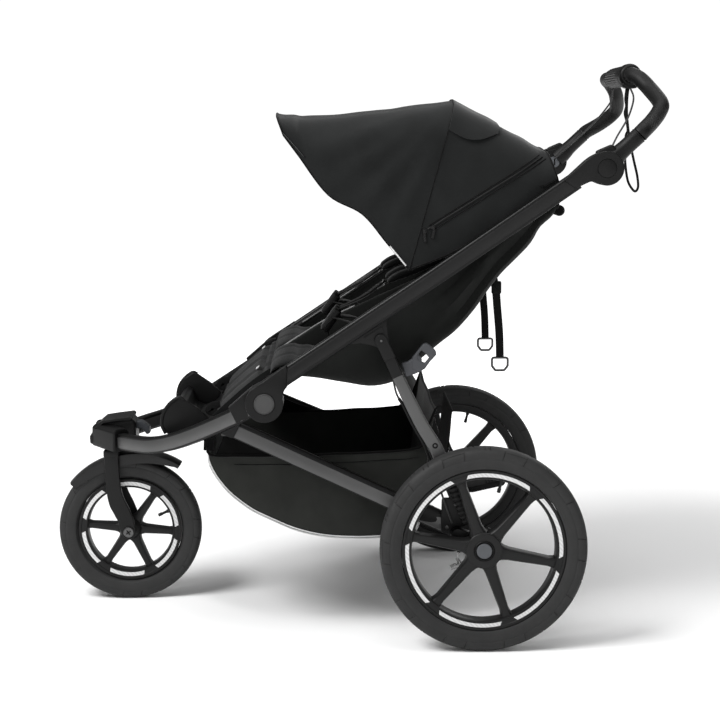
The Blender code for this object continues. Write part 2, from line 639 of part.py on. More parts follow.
BRAKE_CABLES = {
    "left": [(0.1270, 0.5640, 1.0800), (0.1300, 0.5700, 1.0650), (0.1380, 0.5680, 1.0500),
             (0.1600, 0.5562, 1.0245), (0.1900, 0.5409, 1.0059), (0.2300, 0.5219, 0.9861),
             (0.2700, 0.5060, 0.9687), (0.3000, 0.4930, 0.9520), (0.3115, 0.4770, 0.9310)],
    "right": [(-0.0680, 0.5640, 1.0830), (-0.0710, 0.5632, 1.0640), (-0.0800, 0.5569, 1.0483),
              (-0.1200, 0.5413, 1.0208), (-0.1800, 0.5251, 0.9947), (-0.2400, 0.5101, 0.9722),
              (-0.2850, 0.4966, 0.9536), (-0.3120, 0.4800, 0.9340)],
}
WRIST_STRAP = [(0.1100, 0.5600, 1.0795), (0.1110, 0.5580, 1.0590), (0.1110, 0.5600, 1.0449),
               (0.1110, 0.5574, 1.0308), (0.1115, 0.5613, 1.0145), (0.1120, 0.5640, 0.9962),
               (0.1120, 0.5603, 0.9850), (0.1120, 0.5598, 0.9514), (0.1120, 0.5610, 0.9268),
               (0.1130, 0.5662, 0.8961), (0.1140, 0.5750, 0.8797), (0.1150, 0.5821, 0.8745),
               (0.1165, 0.5869, 0.8838), (0.1180, 0.5841, 0.9064), (0.1190, 0.5772, 0.9330),
               (0.1190, 0.5714, 0.9575), (0.1190, 0.5660, 0.9840), (0.1190, 0.5626, 1.0064),
               (0.1190, 0.5600, 1.0300), (0.1185, 0.5600, 1.0590), (0.1170, 0.5620, 1.0795)]


def handle_cords():
    """Two brake cables to the handle joints, and the wrist strap's hanging loop."""
    for side_name, route in BRAKE_CABLES.items():
        cord(f"brake_cable_{side_name}", smooth_route(route, 4), 0.0018, black_rubber())
    cord("wrist_strap", smooth_route(WRIST_STRAP, 3), 0.0025, black_fabric())


# ---- seat, canopies and basket --------------------------------------------------------
TUB_LINE = [(-0.1080, 0.5330), (-0.0859, 0.5227), (-0.0183, 0.5108), (0.0397, 0.5020),
            (0.0843, 0.5085), (0.0978, 0.5182), (0.1556, 0.5572), (0.2319, 0.6638),
            (0.2887, 0.7465), (0.3455, 0.8000), (0.3960, 0.8480)]
TUB_TOP = [(0.4000, 0.8830), (0.1620, 0.7200), (-0.1080, 0.5480)]


def seat_tub():
    """Fabric seat hammock: bottom, back and sides in one open-topped tray."""
    half = SEAT_HALF_WIDTH
    tub = add_object("seat_tub", prism(TUB_LINE + TUB_TOP, -half, half), black_fabric())
    inside = offset_line(TUB_LINE, 0.0090)
    inside = [(-0.1500, inside[0][1]), *inside[1:-1], (0.3880, 0.8560), (0.3880, 0.9500), (-0.1500, 0.9000)]
    space = add_object("tub_space_tool", prism(inside, -half + 0.007, half - 0.007), steel(), cutter=True)
    combine(tub, space, "DIFFERENCE")


def backrests():
    """Padded seat backs, each with its own recline strap and ring behind."""
    direction = Vector((0.65, 0.76)).normalized()
    start = Vector(BACKREST_PIVOT)
    end = start + direction * 0.3550
    for side_name, side in SIDES:
        low, high = span(side, 0.0130, 0.2900)
        panel = prism(thick_line([tuple(start), tuple(end)], 0.0220), low, high)
        pivot = (side * 0.149, *BACKREST_PIVOT)
        bevel(add_object(f"backrest_{side_name}", panel, black_fabric(), pivot), 0.006)


def recline_straps():
    """Webbing that hangs behind each seat from a sewn tab, with a ring at its end."""
    outline = [(0.2680, 0.7120), (0.2790, 0.7260), (0.3040, 0.7190), (0.3070, 0.7060),
               (0.3145, 0.5400), (0.2985, 0.5400), (0.2915, 0.7000)]
    for side_name, side in SIDES:
        low, high = span(side, 0.1489, 0.1511)
        strap = add_object(f"recline_strap_{side_name}", prism(outline, low, high), black_fabric())
        ring = side_ring((side * 0.1500, 0.3065, 0.5250), 0.0150, 0.0140, 0.0021)
        combine(strap, add_object(f"strap_ring_tool_{side_name}", ring, steel(), cutter=True), "UNION")


def harness_buckles():
    for side_name, side in SIDES:
        low, high = span(side, 0.1250, 0.1750)
        outline = [(-0.0420, 0.5260), (-0.0340, 0.5260), (-0.0340, 0.5950), (-0.0090, 0.6380),
                   (-0.0220, 0.6470), (-0.0570, 0.6030), (-0.0440, 0.5940)]
        bevel(add_object(f"harness_buckle_{side_name}", prism(outline, low, high), black_plastic()), 0.004)


def calf_rest():
    """Padded panel from the seat's front edge down to the footrest."""
    line = [(-0.1180, 0.5410), (-0.1700, 0.5150), (-0.2200, 0.4780), (-0.2640, 0.4360)]
    pad = prism(thick_line(line, 0.0160), -0.2350, 0.2350)
    bevel(add_object("calf_rest", pad, black_fabric()), 0.004)


CANOPY_PIVOT = (0.1240, 0.7340)


def arch(x_low, x_high, base, crown, corner, count=4):
    """Half-box arch across X from one base height up to a crown with round corners."""
    points = [(x_low, base)]
    for i in range(count + 1):
        angle = math.pi - (math.pi / 2) * i / count
        points.append((x_low + corner + corner * math.cos(angle), crown - corner + corner * math.sin(angle)))
    for i in range(count + 1):
        angle = math.pi / 2 - (math.pi / 2) * i / count
        points.append((x_high - corner + corner * math.cos(angle), crown - corner + corner * math.sin(angle)))
    points.append((x_high, base))
    return points


def hood(name, bows, x_low, x_high, thickness, pivot):
    """Fabric shell over a row of bows; a bow is (base point, crown point)."""
    build = bmesh.new()
    shells = []
    for shrink in (0.0, thickness):
        rows = []
        for (base_y, base_z), (crown_y, crown_z) in bows:
            height = crown_z - base_z
            row = []
            corner = min(0.0700, 0.8 * height)
            for x, z in arch(x_low + shrink, x_high - shrink, 0.0, height - shrink, corner):
                share = max(0.0, min(1.0, z / height))
                row.append(build.verts.new((x, base_y + (crown_y - base_y) * share, base_z + z)))
            rows.append(row)
        shells.append(rows)
    outer, inner = shells
    last = len(outer[0]) - 1
    for i in range(len(bows) - 1):
        for j in range(last):
            build.faces.new((outer[i][j], outer[i + 1][j], outer[i + 1][j + 1], outer[i][j + 1]))
            build.faces.new((inner[i][j], inner[i][j + 1], inner[i + 1][j + 1], inner[i + 1][j]))
        for j in (0, last):
            build.faces.new((outer[i][j], inner[i][j], inner[i + 1][j], outer[i + 1][j]))
    for i in (0, len(bows) - 1):
        for j in range(last):
            build.faces.new((outer[i][j], outer[i][j + 1], inner[i][j + 1], inner[i][j]))
    return add_object(name, build, black_fabric(), pivot)


VISOR_BOWS = [((-0.1240, 0.9700), (-0.1400, 1.0270)), ((-0.0400, 0.8760), (-0.0700, 1.0360)),
              ((0.0240, 0.8400), (0.0300, 1.0450)), ((0.0700, 0.7860), (0.1200, 1.0520)),
              ((0.1130, 0.7340), (0.2080, 1.0540))]
HOOD_BOWS = [((0.1140, 0.7345), (0.2095, 1.0540)), ((0.2050, 0.7700), (0.2850, 1.0250)),
             ((0.3050, 0.8350), (0.3480, 0.9930)), ((0.3950, 0.8950), (0.3740, 0.9600))]


def canopies():
    """Each seat has a visor that swings back on its bow over a fixed rear hood."""
    for side_name, side in SIDES:
        low, high = span(side, 0.0060, 0.3300)
        pivot = (side * 0.3300, *CANOPY_PIVOT)
        hood(f"canopy_visor_{side_name}", VISOR_BOWS, low, high, 0.0050, pivot)
        hood(f"canopy_hood_{side_name}", HOOD_BOWS, low, high, 0.0050, pivot)


def basket():
    """Cargo basket: an open-topped fabric tub with a tall rear flap."""
    half = BASKET_HALF_WIDTH
    bottom = [(-0.2780, 0.3740), (-0.2770, 0.3380), (-0.2500, 0.2936), (-0.2200, 0.2650),
              (-0.1762, 0.2368), (-0.0977, 0.2030), (-0.0200, 0.1900), (0.0702, 0.1900),
              (0.1300, 0.1980), (0.1480, 0.2600), (0.1580, 0.3600), (0.1700, 0.4500)]
    rim_line = [(0.1600, 0.4500), (0.1300, 0.3700), (0.0700, 0.3600), (-0.1000, 0.3480), (-0.2600, 0.3400)]
    outer = add_object("basket", prism(bottom + rim_line, -half, half), black_fabric())
    inside = offset_line(bottom, 0.0060)
    inside = [(inside[0][0], 0.5000), *inside, (inside[-1][0], 0.5000)]
    space = add_object("basket_space_tool", prism(inside, -half + 0.006, half - 0.006), steel(), cutter=True)
    combine(outer, space, "DIFFERENCE")


def main():
    clear_scene()
    for build in (rear_wheels, front_wheel, front_fork, front_fender, front_head, front_arms, footrest,
                  seat_rails, rear_legs, fold_catch, lower_tubes, suspension, parking_brake, handlebar,
                  handle_cords, seat_tub, backrests, recline_straps, harness_buckles, calf_rest,
                  canopies, basket):
        build()


main()
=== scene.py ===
"""Looks of the two-seat jogging stroller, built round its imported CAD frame, in metres.

The stroller faces -Y, its left side is +X, +Z is up. Side view points are (Y, Z) pairs.
"""
import json
import math

import bmesh
import bpy
from mathutils import Matrix, Vector, noise
from mathutils.bvhtree import BVHTree


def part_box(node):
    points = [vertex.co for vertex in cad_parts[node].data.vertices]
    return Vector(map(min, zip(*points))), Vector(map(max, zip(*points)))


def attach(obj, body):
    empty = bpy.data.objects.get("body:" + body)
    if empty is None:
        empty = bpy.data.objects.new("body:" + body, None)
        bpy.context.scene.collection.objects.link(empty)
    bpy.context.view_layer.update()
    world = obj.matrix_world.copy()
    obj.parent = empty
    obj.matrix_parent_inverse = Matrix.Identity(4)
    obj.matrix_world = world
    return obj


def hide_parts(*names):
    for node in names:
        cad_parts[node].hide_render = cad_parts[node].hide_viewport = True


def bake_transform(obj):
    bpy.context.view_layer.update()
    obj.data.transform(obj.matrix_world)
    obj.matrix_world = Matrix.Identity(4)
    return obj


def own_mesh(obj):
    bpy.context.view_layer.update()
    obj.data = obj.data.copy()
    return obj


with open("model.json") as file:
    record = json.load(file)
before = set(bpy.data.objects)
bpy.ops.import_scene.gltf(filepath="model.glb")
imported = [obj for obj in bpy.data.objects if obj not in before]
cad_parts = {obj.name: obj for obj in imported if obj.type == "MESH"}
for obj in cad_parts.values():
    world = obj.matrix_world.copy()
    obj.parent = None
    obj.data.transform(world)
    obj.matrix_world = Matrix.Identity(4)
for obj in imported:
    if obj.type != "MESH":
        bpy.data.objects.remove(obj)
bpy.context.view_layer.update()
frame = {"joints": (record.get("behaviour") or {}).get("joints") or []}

SIDES = (("left", 1), ("right", -1))
PIVOT = {joint["name"]: Vector(joint["pos_m"]) for joint in frame["joints"] if "pos_m" in joint}


def sided(make):
    """Decorator: make the left one and then the right one."""
    def both():
        for side_name, side in SIDES:
            make(side_name, side)
    return both


def side_view(point):
    return (point[1], point[2])


def middle(node):
    low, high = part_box(node)
    return (low + high) / 2


HUB = side_view(PIVOT["frame_fold"])
LEG_TOP = side_view(PIVOT["rear_leg_fold"])
HANDLE = side_view(PIVOT["handlebar_tilt"])
REAR_AXLE = side_view(PIVOT["rear_wheel_spin_left"])
FRONT_AXLE = side_view(PIVOT["front_wheel_spin"])
SWING = side_view(PIVOT["suspension_left"])
LOWER_REAR = side_view(PIVOT["lower_tube_fold"])
STEER_Y = PIVOT["caster_swivel"][1]
REAR_WHEEL_X = middle("rear_tyre_left").x
REAR_RADIUS = REAR_AXLE[1]
FRONT_RADIUS = FRONT_AXLE[1]
RAIL_LOW, RAIL_HIGH = (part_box("seat_rail_left")[i].x for i in (0, 1))
RAIL_X = (RAIL_LOW + RAIL_HIGH) / 2


# ---- materials ------------------------------------------------------------------------
def linear(level):
    """A 0 to 255 display grey, or a triple of them, as linear light."""
    values = level if isinstance(level, (tuple, list)) else (level, level, level)
    return tuple((v / 255) ** 2.2 for v in values)


class Surface:
    """A Principled material with helpers that add procedural detail to it."""

    def __init__(self, name, level, roughness, metallic=0.0, specular=0.5):
        self.material = bpy.data.materials.new(name)
        self.material.use_nodes = True
        self.nodes = self.material.node_tree.nodes
        self.links = self.material.node_tree.links
        self.shader = self.nodes["Principled BSDF"]
        self.colour = linear(level)
        self.roughness = roughness
        self.shader.inputs["Base Color"].default_value = (*self.colour, 1)
        self.shader.inputs["Roughness"].default_value = roughness
        self.shader.inputs["Metallic"].default_value = metallic
        self.shader.inputs["Specular IOR Level"].default_value = specular
        self.place = self.nodes.new("ShaderNodeTexCoord")
        self.normal = None

    def sheen(self, weight, roughness=0.5):
        self.shader.inputs["Sheen Weight"].default_value = weight
        self.shader.inputs["Sheen Roughness"].default_value = roughness
        return self

    def noise(self, size, detail=3.0, stretch=(1, 1, 1)):
        """Noise with features of that size in metres; stretch lengthens them along an axis."""
        mapping = self.nodes.new("ShaderNodeMapping")
        mapping.inputs["Scale"].default_value = tuple(1 / (size * s) for s in stretch)
        self.links.new(self.place.outputs["Object"], mapping.inputs["Vector"])
        texture = self.nodes.new("ShaderNodeTexNoise")
        texture.inputs["Scale"].default_value = 1.0
        texture.inputs["Detail"].default_value = detail
        self.links.new(mapping.outputs["Vector"], texture.inputs["Vector"])
        return texture.outputs["Fac"]

    def cells(self, size):
        texture = self.nodes.new("ShaderNodeTexVoronoi")
        texture.inputs["Scale"].default_value = 1 / size
        self.links.new(self.place.outputs["Object"], texture.inputs["Vector"])
        return texture.outputs["Distance"]

    def bands(self, pitch, axis):
        """Fine parallel ribs along one axis, or diagonal ones."""
        texture = self.nodes.new("ShaderNodeTexWave")
        texture.wave_type = "BANDS"
        texture.bands_direction = axis
        texture.inputs["Scale"].default_value = 2 * math.pi / (20 * pitch)
        self.links.new(self.place.outputs["Object"], texture.inputs["Vector"])
        return texture.outputs["Fac"]

    def mixed(self, first, second, operation="MULTIPLY"):
        node = self.nodes.new("ShaderNodeMath")
        node.operation = operation
        self.links.new(first, node.inputs[0])
        self.links.new(second, node.inputs[1])
        return node.outputs[0]

    def spread(self, source, low, high):
        """The source's 0..1 range moved to low..high."""
        node = self.nodes.new("ShaderNodeMapRange")
        node.inputs["To Min"].default_value = low
        node.inputs["To Max"].default_value = high
        self.links.new(source, node.inputs["Value"])
        return node.outputs["Result"]

    def tint(self, source, low, high):
        """Vary the colour between two multiples of itself."""
        ramp = self.nodes.new("ShaderNodeValToRGB")
        ramp.color_ramp.elements[0].position = 0.3
        ramp.color_ramp.elements[1].position = 0.7
        ramp.color_ramp.elements[0].color = (*(c * low for c in self.colour), 1)
        ramp.color_ramp.elements[1].color = (*(c * high for c in self.colour), 1)
        self.links.new(source, ramp.inputs["Fac"])
        self.links.new(ramp.outputs["Color"], self.shader.inputs["Base Color"])
        return self

    def polish(self, source, change):
        """Vary the roughness by plus or minus the change."""
        result = self.spread(source, self.roughness - change, self.roughness + change)
        self.links.new(result, self.shader.inputs["Roughness"])
        return self

    def bump(self, source, depth, strength=1.0):
        node = self.nodes.new("ShaderNodeBump")
        node.inputs["Distance"].default_value = depth
        node.inputs["Strength"].default_value = strength
        self.links.new(source, node.inputs["Height"])
        if self.normal is not None:
            self.links.new(self.normal, node.inputs["Normal"])
        self.normal = node.outputs["Normal"]
        self.links.new(self.normal, self.shader.inputs["Normal"])
        return self


def rubber(name, level, roughness):
    made = Surface(name, level, roughness, specular=0.35)
    made.tint(made.noise(0.03, 4.0), 0.88, 1.12)
    made.polish(made.noise(0.012, 3.0), 0.06)
    return made.bump(made.noise(0.0011, 2.0), 0.00012, 0.5).material


def painted(name, level, roughness, metallic):
    """Satin powder coat over metal: orange peel, faint dust and softer gloss in patches."""
    made = Surface(name, level, roughness, metallic, 0.22)
    made.tint(made.noise(0.06, 3.0), 0.93, 1.07)
    made.polish(made.noise(0.02, 4.0), 0.05)
    return made.bump(made.noise(0.0016, 2.0), 0.00005, 0.6).material


def anodised(name, level, roughness):
    """Extruded tube: fine lines along the tube under a satin finish."""
    made = Surface(name, level, roughness, 0.75)
    made.tint(made.noise(0.08, 3.0), 0.93, 1.07)
    made.polish(made.noise(0.002, 3.0, (1, 14, 14)), 0.05)
    return made.bump(made.noise(0.0012, 2.0, (1, 20, 20)), 0.00003, 0.5).material


def moulded(name, level, roughness, specular=0.2):
    """Injection moulded plastic with a spark-eroded grain."""
    made = Surface(name, level, roughness, specular=specular)
    made.tint(made.noise(0.04, 3.0), 0.92, 1.08)
    made.polish(made.noise(0.008, 3.0), 0.04)
    return made.bump(made.cells(0.0009), 0.00008, 0.5).material


def cloth(name, level, roughness, thread, depth, sheen=0.12):
    """Plain weave: crossing ribs at thread scale, a little fuzz and uneven dye."""
    made = Surface(name, level, roughness, specular=0.12).sheen(sheen, 0.45)
    weave = made.mixed(made.bands(thread, "DIAGONAL"), made.bands(thread, "Z"), "MAXIMUM")
    made.tint(made.mixed(made.noise(0.05, 4.0), made.spread(weave, 0.85, 1.0)), 0.82, 1.15)
    made.polish(made.noise(0.03, 3.0), 0.05)
    made.bump(made.noise(0.009, 3.0), 0.0006, 0.35)
    return made.bump(weave, depth, 0.6).material


def webbing_cloth(name, level):
    made = Surface(name, level, 0.75, specular=0.12).sheen(0.08)
    ribs = made.mixed(made.bands(0.0016, "X"), made.bands(0.0011, "Z"), "MAXIMUM")
    made.tint(ribs, 0.7, 1.2)
    return made.bump(ribs, 0.0003, 0.7).material


def leather(name, level):
    """Smooth stitched cover with a fine pebble grain."""
    made = Surface(name, level, 0.52, specular=0.2)
    made.tint(made.noise(0.02, 4.0), 0.88, 1.12)
    made.polish(made.noise(0.01, 3.0), 0.06)
    return made.bump(made.cells(0.0016), 0.00022, 0.6).material


def reflector(name):
    """Silver reflective tape with its faint diagonal hatch."""
    made = Surface(name, 205, 0.38, 0.25)
    hatch = made.bands(0.0042, "DIAGONAL")
    made.tint(hatch, 0.88, 1.04)
    return made.bump(hatch, 0.0001, 0.4).material


def braid(name, level):
    made = Surface(name, level, 0.6, specular=0.4)
    strands = made.mixed(made.bands(0.0017, "DIAGONAL"), made.bands(0.0023, "Z"), "MAXIMUM")
    made.tint(strands, 0.5, 1.7)
    return made.bump(strands, 0.0003, 0.7).material


def metal(name, level, roughness):
    made = Surface(name, level, roughness, 1.0)
    made.polish(made.noise(0.003, 3.0), 0.06)
    return made.bump(made.noise(0.0008, 2.0), 0.00002, 0.5).material


TYRE = rubber("tyre_rubber", 40, 0.68)
RUBBER = rubber("soft_rubber", 24, 0.62)
RIM = painted("rim_coat", 33, 0.42, 0.25)
TUBE = anodised("tube_anodised", 84, 0.4)
RAIL = anodised("rail_anodised", 38, 0.42)
# painted shade: darker copy of the tube finish for the bevel strips of rails, arms and lower tubes, standing
# in for their dark reflections
PAINTED_SHADE_TUBE = moulded("tube_bevel_painted_shade", 14, 0.4)
FORK = painted("fork_coat", 30, 0.44, 0.3)
CASTING = moulded("casting_plastic", 17, 0.46)
DARK_CASTING = moulded("dark_casting_plastic", 17, 0.44)
CAP = moulded("cap_plastic", 64, 0.46)
HOOK = moulded("hook_plastic", (66, 67, 70), 0.42)
DARK = moulded("dark_plastic", 11, 0.48)
FENDER = moulded("fender_plastic", 20, 0.36, 0.3)
BUTTON = moulded("button_plastic", (84, 86, 89), 0.5)
LEVER = moulded("lever_plastic", (48, 50, 53), 0.5)
CANOPY = cloth("canopy_cloth", (28, 29, 29), 0.78, 0.0009, 0.0001)
SEAT = cloth("seat_cloth", (25, 26, 25), 0.85, 0.0013, 0.00016)
PAD = cloth("pad_cloth", (16, 17, 17), 0.85, 0.0013, 0.00016)
LINING = cloth("lining_cloth", (9, 9, 9), 0.9, 0.0013, 0.00012, 0.1)
BASKET = cloth("basket_cloth", (40, 41, 39), 0.72, 0.0012, 0.00012, 0.15)
WEBBING = webbing_cloth("black_webbing", 15)
TRIM = cloth("grey_piping", 120, 0.7, 0.001, 0.0001, 0.1)
PIPING = cloth("pale_piping", 205, 0.7, 0.001, 0.0001, 0.0)
GRIP = leather("grip_cover", 20)
REFLECT = reflector("reflective_tape")
CABLE = braid("cable_braid", 46)
STEEL = metal("bright_steel", 165, 0.28)
DARK_STEEL = metal("dark_steel", 82, 0.35)
BOLT = metal("bolt_steel", 96, 0.42)


# ---- mesh helpers ---------------------------------------------------------------------
def place(name, vertices, faces, material, body, crease=38, replaced=()):
    """One closed or open mesh piece that rides on a CAD body."""
    mesh = bpy.data.meshes.new(name)
    mesh.from_pydata([tuple(v) for v in vertices], [], [tuple(f) for f in faces])
    build = bmesh.new()
    build.from_mesh(mesh)
    bmesh.ops.remove_doubles(build, verts=build.verts, dist=1e-6)
    bmesh.ops.recalc_face_normals(build, faces=build.faces)
    build.to_mesh(mesh)
    build.free()
    mesh.materials.append(material)
    mesh.shade_smooth()
    mesh.set_sharp_from_angle(angle=math.radians(crease))
    made = bpy.data.objects.new(name, mesh)
    bpy.context.scene.collection.objects.link(made)
    if body:
        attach(made, body)
    if replaced:
        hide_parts(*replaced)
    return made


def grid_faces(rows, columns, wrap_rows=False, wrap_columns=False, start=0):
    faces = []
    for i in range(rows if wrap_rows else rows - 1):
        for j in range(columns if wrap_columns else columns - 1):
            k, m = (i + 1) % rows, (j + 1) % columns
            faces.append((start + i * columns + j, start + k * columns + j,
                          start + k * columns + m, start + i * columns + m))
    return faces


class Build:
    """Collects several closed shapes into one piece."""

    def __init__(self):
        self.vertices = []
        self.faces = []

    def add(self, vertices, faces):
        start = len(self.vertices)
        self.vertices += [Vector(v) for v in vertices]
        self.faces += [tuple(start + i for i in face) for face in faces]
        return self

    def rings(self, rings, close=False, caps=True):
        """Join equal rings of points into a tube; close joins the last to the first."""
        count = len(rings[0])
        faces = grid_faces(len(rings), count, close, True)
        if caps and not close:
            faces.append(tuple(range(count)))
            faces.append(tuple((len(rings) - 1) * count + i for i in reversed(range(count))))
        return self.add([p for ring in rings for p in ring], faces)

    def plate(self, outline, layers, side=1):
        """Side view outline built up along X; a layer is (x, how far the outline shrinks)."""
        return self.rings([[(side * x, y, z) for y, z in shrink(outline, inset)] for x, inset in layers])

    def panel(self, outline, low, high, edge=0.0015, side=1):
        """A plate from x low to x high whose two outer edges are rounded."""
        return self.plate(outline, soft_layers(low, high, edge), side)

    def spin(self, profile, centre, axis=(1, 0, 0), sides=48, loop=False):
        """Turn (along the axis, radius) points; loop closes a profile that misses the axis."""
        axis = Vector(axis).normalized()
        first = axis.cross(Vector((0, 0, 1)) if abs(axis.z) < 0.9 else Vector((0, 1, 0))).normalized()
        second = axis.cross(first)
        columns = []
        for c, s in circle(1.0, sides):
            out = first * c + second * s
            columns.append([Vector(centre) + axis * d + out * r for d, r in profile])
        if loop:
            return self.rings(columns, close=True)
        return self.add([p for column in columns for p in column],
                        grid_faces(sides, len(profile), True, False))

    def sweep(self, path, section, up=(0, 0, 1), scales=None, close=False):
        """Carry a flat section along a path; section points are (across, up)."""
        rings = []
        for i, point in enumerate(path):
            before, after = path[max(i - 1, 0)], path[min(i + 1, len(path) - 1)]
            if close:
                before, after = path[i - 1], path[(i + 1) % len(path)]
            run = (Vector(after) - Vector(before)).normalized()
            across = run.cross(Vector(up)).normalized()
            lift = across.cross(run)
            scale = scales[i] if scales else 1.0
            rings.append([Vector(point) + across * a * scale + lift * b * scale for a, b in section])
        return self.rings(rings, close=close)

    def tube(self, path, radius, sides=16, up=(0, 0, 1), scales=None, close=False):
        return self.sweep(path, circle(radius, sides), up, scales, close)

    def rod(self, start, end, radius, sides=24, edge=0.0006):
        """Round bar with small rounded edges."""
        start, end = Vector(start), Vector(end)
        run = (end - start).normalized()
        stations = [start, start + run * edge, end - run * edge, end]
        up = (0, 0, 1) if abs(run.z) < 0.9 else (0, 1, 0)
        return self.tube(stations, radius, sides, up, [1 - edge / radius, 1, 1, 1 - edge / radius])

    def block(self, centre, size, edge, turn=None):
        """Box with rounded corners along its longest faces; turn is a 3x3 matrix."""
        half = Vector(size) / 2
        corners = [(-half.y, -half.z), (half.y, -half.z), (half.y, half.z), (-half.y, half.z)]
        outline = rounded(corners, edge, 3)
        layers = ((-half.x, edge), (-half.x + 0.3 * edge, 0.3 * edge), (-half.x + edge, 0),
                  (half.x - edge, 0), (half.x - 0.3 * edge, 0.3 * edge), (half.x, edge))
        rings = []
        for x, inset in layers:
            ring = at_x(x, shrink(outline, inset))
            rings.append([Vector(centre) + (turn @ p if turn else p) for p in ring])
        return self.rings(rings)

    def done(self, name, material, body, slot=None, crease=38, replaced=()):
        return place(name, self.vertices, self.faces, material, body, crease, replaced)


def circle(radius, sides):
    angles = [2 * math.pi * k / sides for k in range(sides)]
    return [(radius * math.cos(angle), radius * math.sin(angle)) for angle in angles]


def arc(centre, radius, start, end, count):
    """Side view points along an arc, in degrees from +Y towards +Z."""
    return [(centre[0] + radius * math.cos(math.radians(start + (end - start) * i / count)),
             centre[1] + radius * math.sin(math.radians(start + (end - start) * i / count)))
            for i in range(count + 1)]


def bow(a, b, c, count=6):
    """Quadratic curve from a to c, pulled towards b."""
    points = []
    for i in range(count + 1):
        t = i / count
        points.append(tuple((1 - t) ** 2 * p + 2 * t * (1 - t) * q + t * t * r for p, q, r in zip(a, b, c)))
    return points


def area_sign(points):
    return sum(p[0] * q[1] - q[0] * p[1] for p, q in zip(points, points[1:] + points[:1]))


def shrink(points, inset):
    """A closed side view outline moved inwards by the inset."""
    points = [p for i, p in enumerate(points) if (Vector(p) - Vector(points[i - 1])).length > 1e-7]
    if inset == 0:
        return points
    turn = 1 if area_sign(points) > 0 else -1
    moved = []
    for i, point in enumerate(points):
        before = (Vector(point) - Vector(points[i - 1])).normalized()
        after = (Vector(points[(i + 1) % len(points)]) - Vector(point)).normalized()
        n1, n2 = Vector((-before.y, before.x)) * turn, Vector((-after.y, after.x)) * turn
        mean = n1 + n2
        scale = inset / max(0.35, (1 + n1.dot(n2)) / 2) / 2
        moved.append((point[0] + mean.x * scale, point[1] + mean.y * scale))
    return moved


def rounded(points, radius, steps=4):
    """A closed outline with each corner rounded; radius may be a list."""
    result = []
    for i, point in enumerate(points):
        r = radius[i] if isinstance(radius, (list, tuple)) else radius
        p = Vector(point)
        a, b = Vector(points[i - 1]) - p, Vector(points[(i + 1) % len(points)]) - p
        reach = min(r / math.tan(a.angle(b) / 2) if r else 0, 0.48 * a.length, 0.48 * b.length)
        if reach < 1e-6:
            result.append(tuple(p))
            continue
        start, end = p + a.normalized() * reach, p + b.normalized() * reach
        result += bow(tuple(start), tuple(p), tuple(end), steps)
    return result


def band(points, widths):
    """Outline round a side view polyline, with a full width at each point."""
    upper, lower = [], []
    for i, point in enumerate(points):
        run = (Vector(points[min(i + 1, len(points) - 1)]) - Vector(points[max(i - 1, 0)])).normalized()
        width = widths[i] if isinstance(widths, (list, tuple)) else widths
        upper.append((point[0] - run.y * width / 2, point[1] + run.x * width / 2))
        lower.append((point[0] + run.y * width / 2, point[1] - run.x * width / 2))
    return upper + lower[::-1]


def curve(points, steps=6):
    """Catmull-Rom curve through a few given points of any dimension."""
    points = [Vector(p) for p in points]
    padded = [2 * points[0] - points[1], *points, 2 * points[-1] - points[-2]]
    route = []
    for i in range(1, len(padded) - 2):
        a, b, c, d = padded[i - 1:i + 3]
        for k in range(steps):
            t = k / steps
            route.append(0.5 * (2 * b + (c - a) * t + (2 * a - 5 * b + 4 * c - d) * t ** 2
                                + (3 * b - a - 3 * c + d) * t ** 3))
    return route + [points[-1]]


def along(route, share):
    """The point that share of the way along a route."""
    lengths = [0.0]
    for p, q in zip(route, route[1:]):
        lengths.append(lengths[-1] + (Vector(q) - Vector(p)).length)
    wanted = share * lengths[-1]
    for i in range(len(route) - 1):
        if lengths[i + 1] >= wanted:
            part = (wanted - lengths[i]) / max(lengths[i + 1] - lengths[i], 1e-9)
            return Vector(route[i]).lerp(Vector(route[i + 1]), part)
    return Vector(route[-1])


def respaced(route, count):
    return [along(route, i / count) for i in range(count + 1)]


def at_x(x, points):
    """Side view points placed at one x."""
    return [Vector((x, y, z)) for y, z in points]


def mirrored(points, side):
    return [Vector((side * p[0], p[1], p[2])) for p in points]


EDGE = ((0.0, 1.0), (0.13, 0.5), (0.5, 0.13), (1.0, 0.0))


def soft_layers(low, high, edge=0.0015):
    """Layers of a plate whose two outer edges are rounded."""
    front = [(low + depth * edge, inset * edge) for depth, inset in EDGE]
    back = [(high - depth * edge, inset * edge) for depth, inset in reversed(EDGE)]
    return front + back


# ---- camera, light and floor ----------------------------------------------------------
CAMERA_PLACE = (3.279, -0.0394, 0.9886)
CAMERA_YAW, CAMERA_PITCH = math.radians(1.14975), math.radians(8.2312)
LENS_MM, SENSOR_MM = 78.0, 36.0
FLOOR_HALF = 40.0


def camera():
    """Long lens from the left side, slightly above the object and looking a little down."""
    data = bpy.data.cameras.new("camera")
    data.sensor_width = SENSOR_MM
    data.lens = LENS_MM
    made = bpy.data.objects.new("camera", data)
    level = math.cos(CAMERA_PITCH)
    view = Vector((-math.cos(CAMERA_YAW) * level, math.sin(CAMERA_YAW) * level, -math.sin(CAMERA_PITCH)))
    made.location = CAMERA_PLACE
    made.rotation_mode = "QUATERNION"
    made.rotation_quaternion = view.to_track_quat("-Z", "Y")
    bpy.context.scene.collection.objects.link(made)
    bpy.context.scene.camera = made


def softbox(name, location, target, size, power):
    data = bpy.data.lights.new(name, "AREA")
    data.shape = "RECTANGLE"
    data.size, data.size_y = size
    data.energy = power
    made = bpy.data.objects.new(name, data)
    made.location = location
    made.rotation_mode = "QUATERNION"
    made.rotation_quaternion = (Vector(target) - Vector(location)).to_track_quat("-Z", "Y")
    bpy.context.scene.collection.objects.link(made)


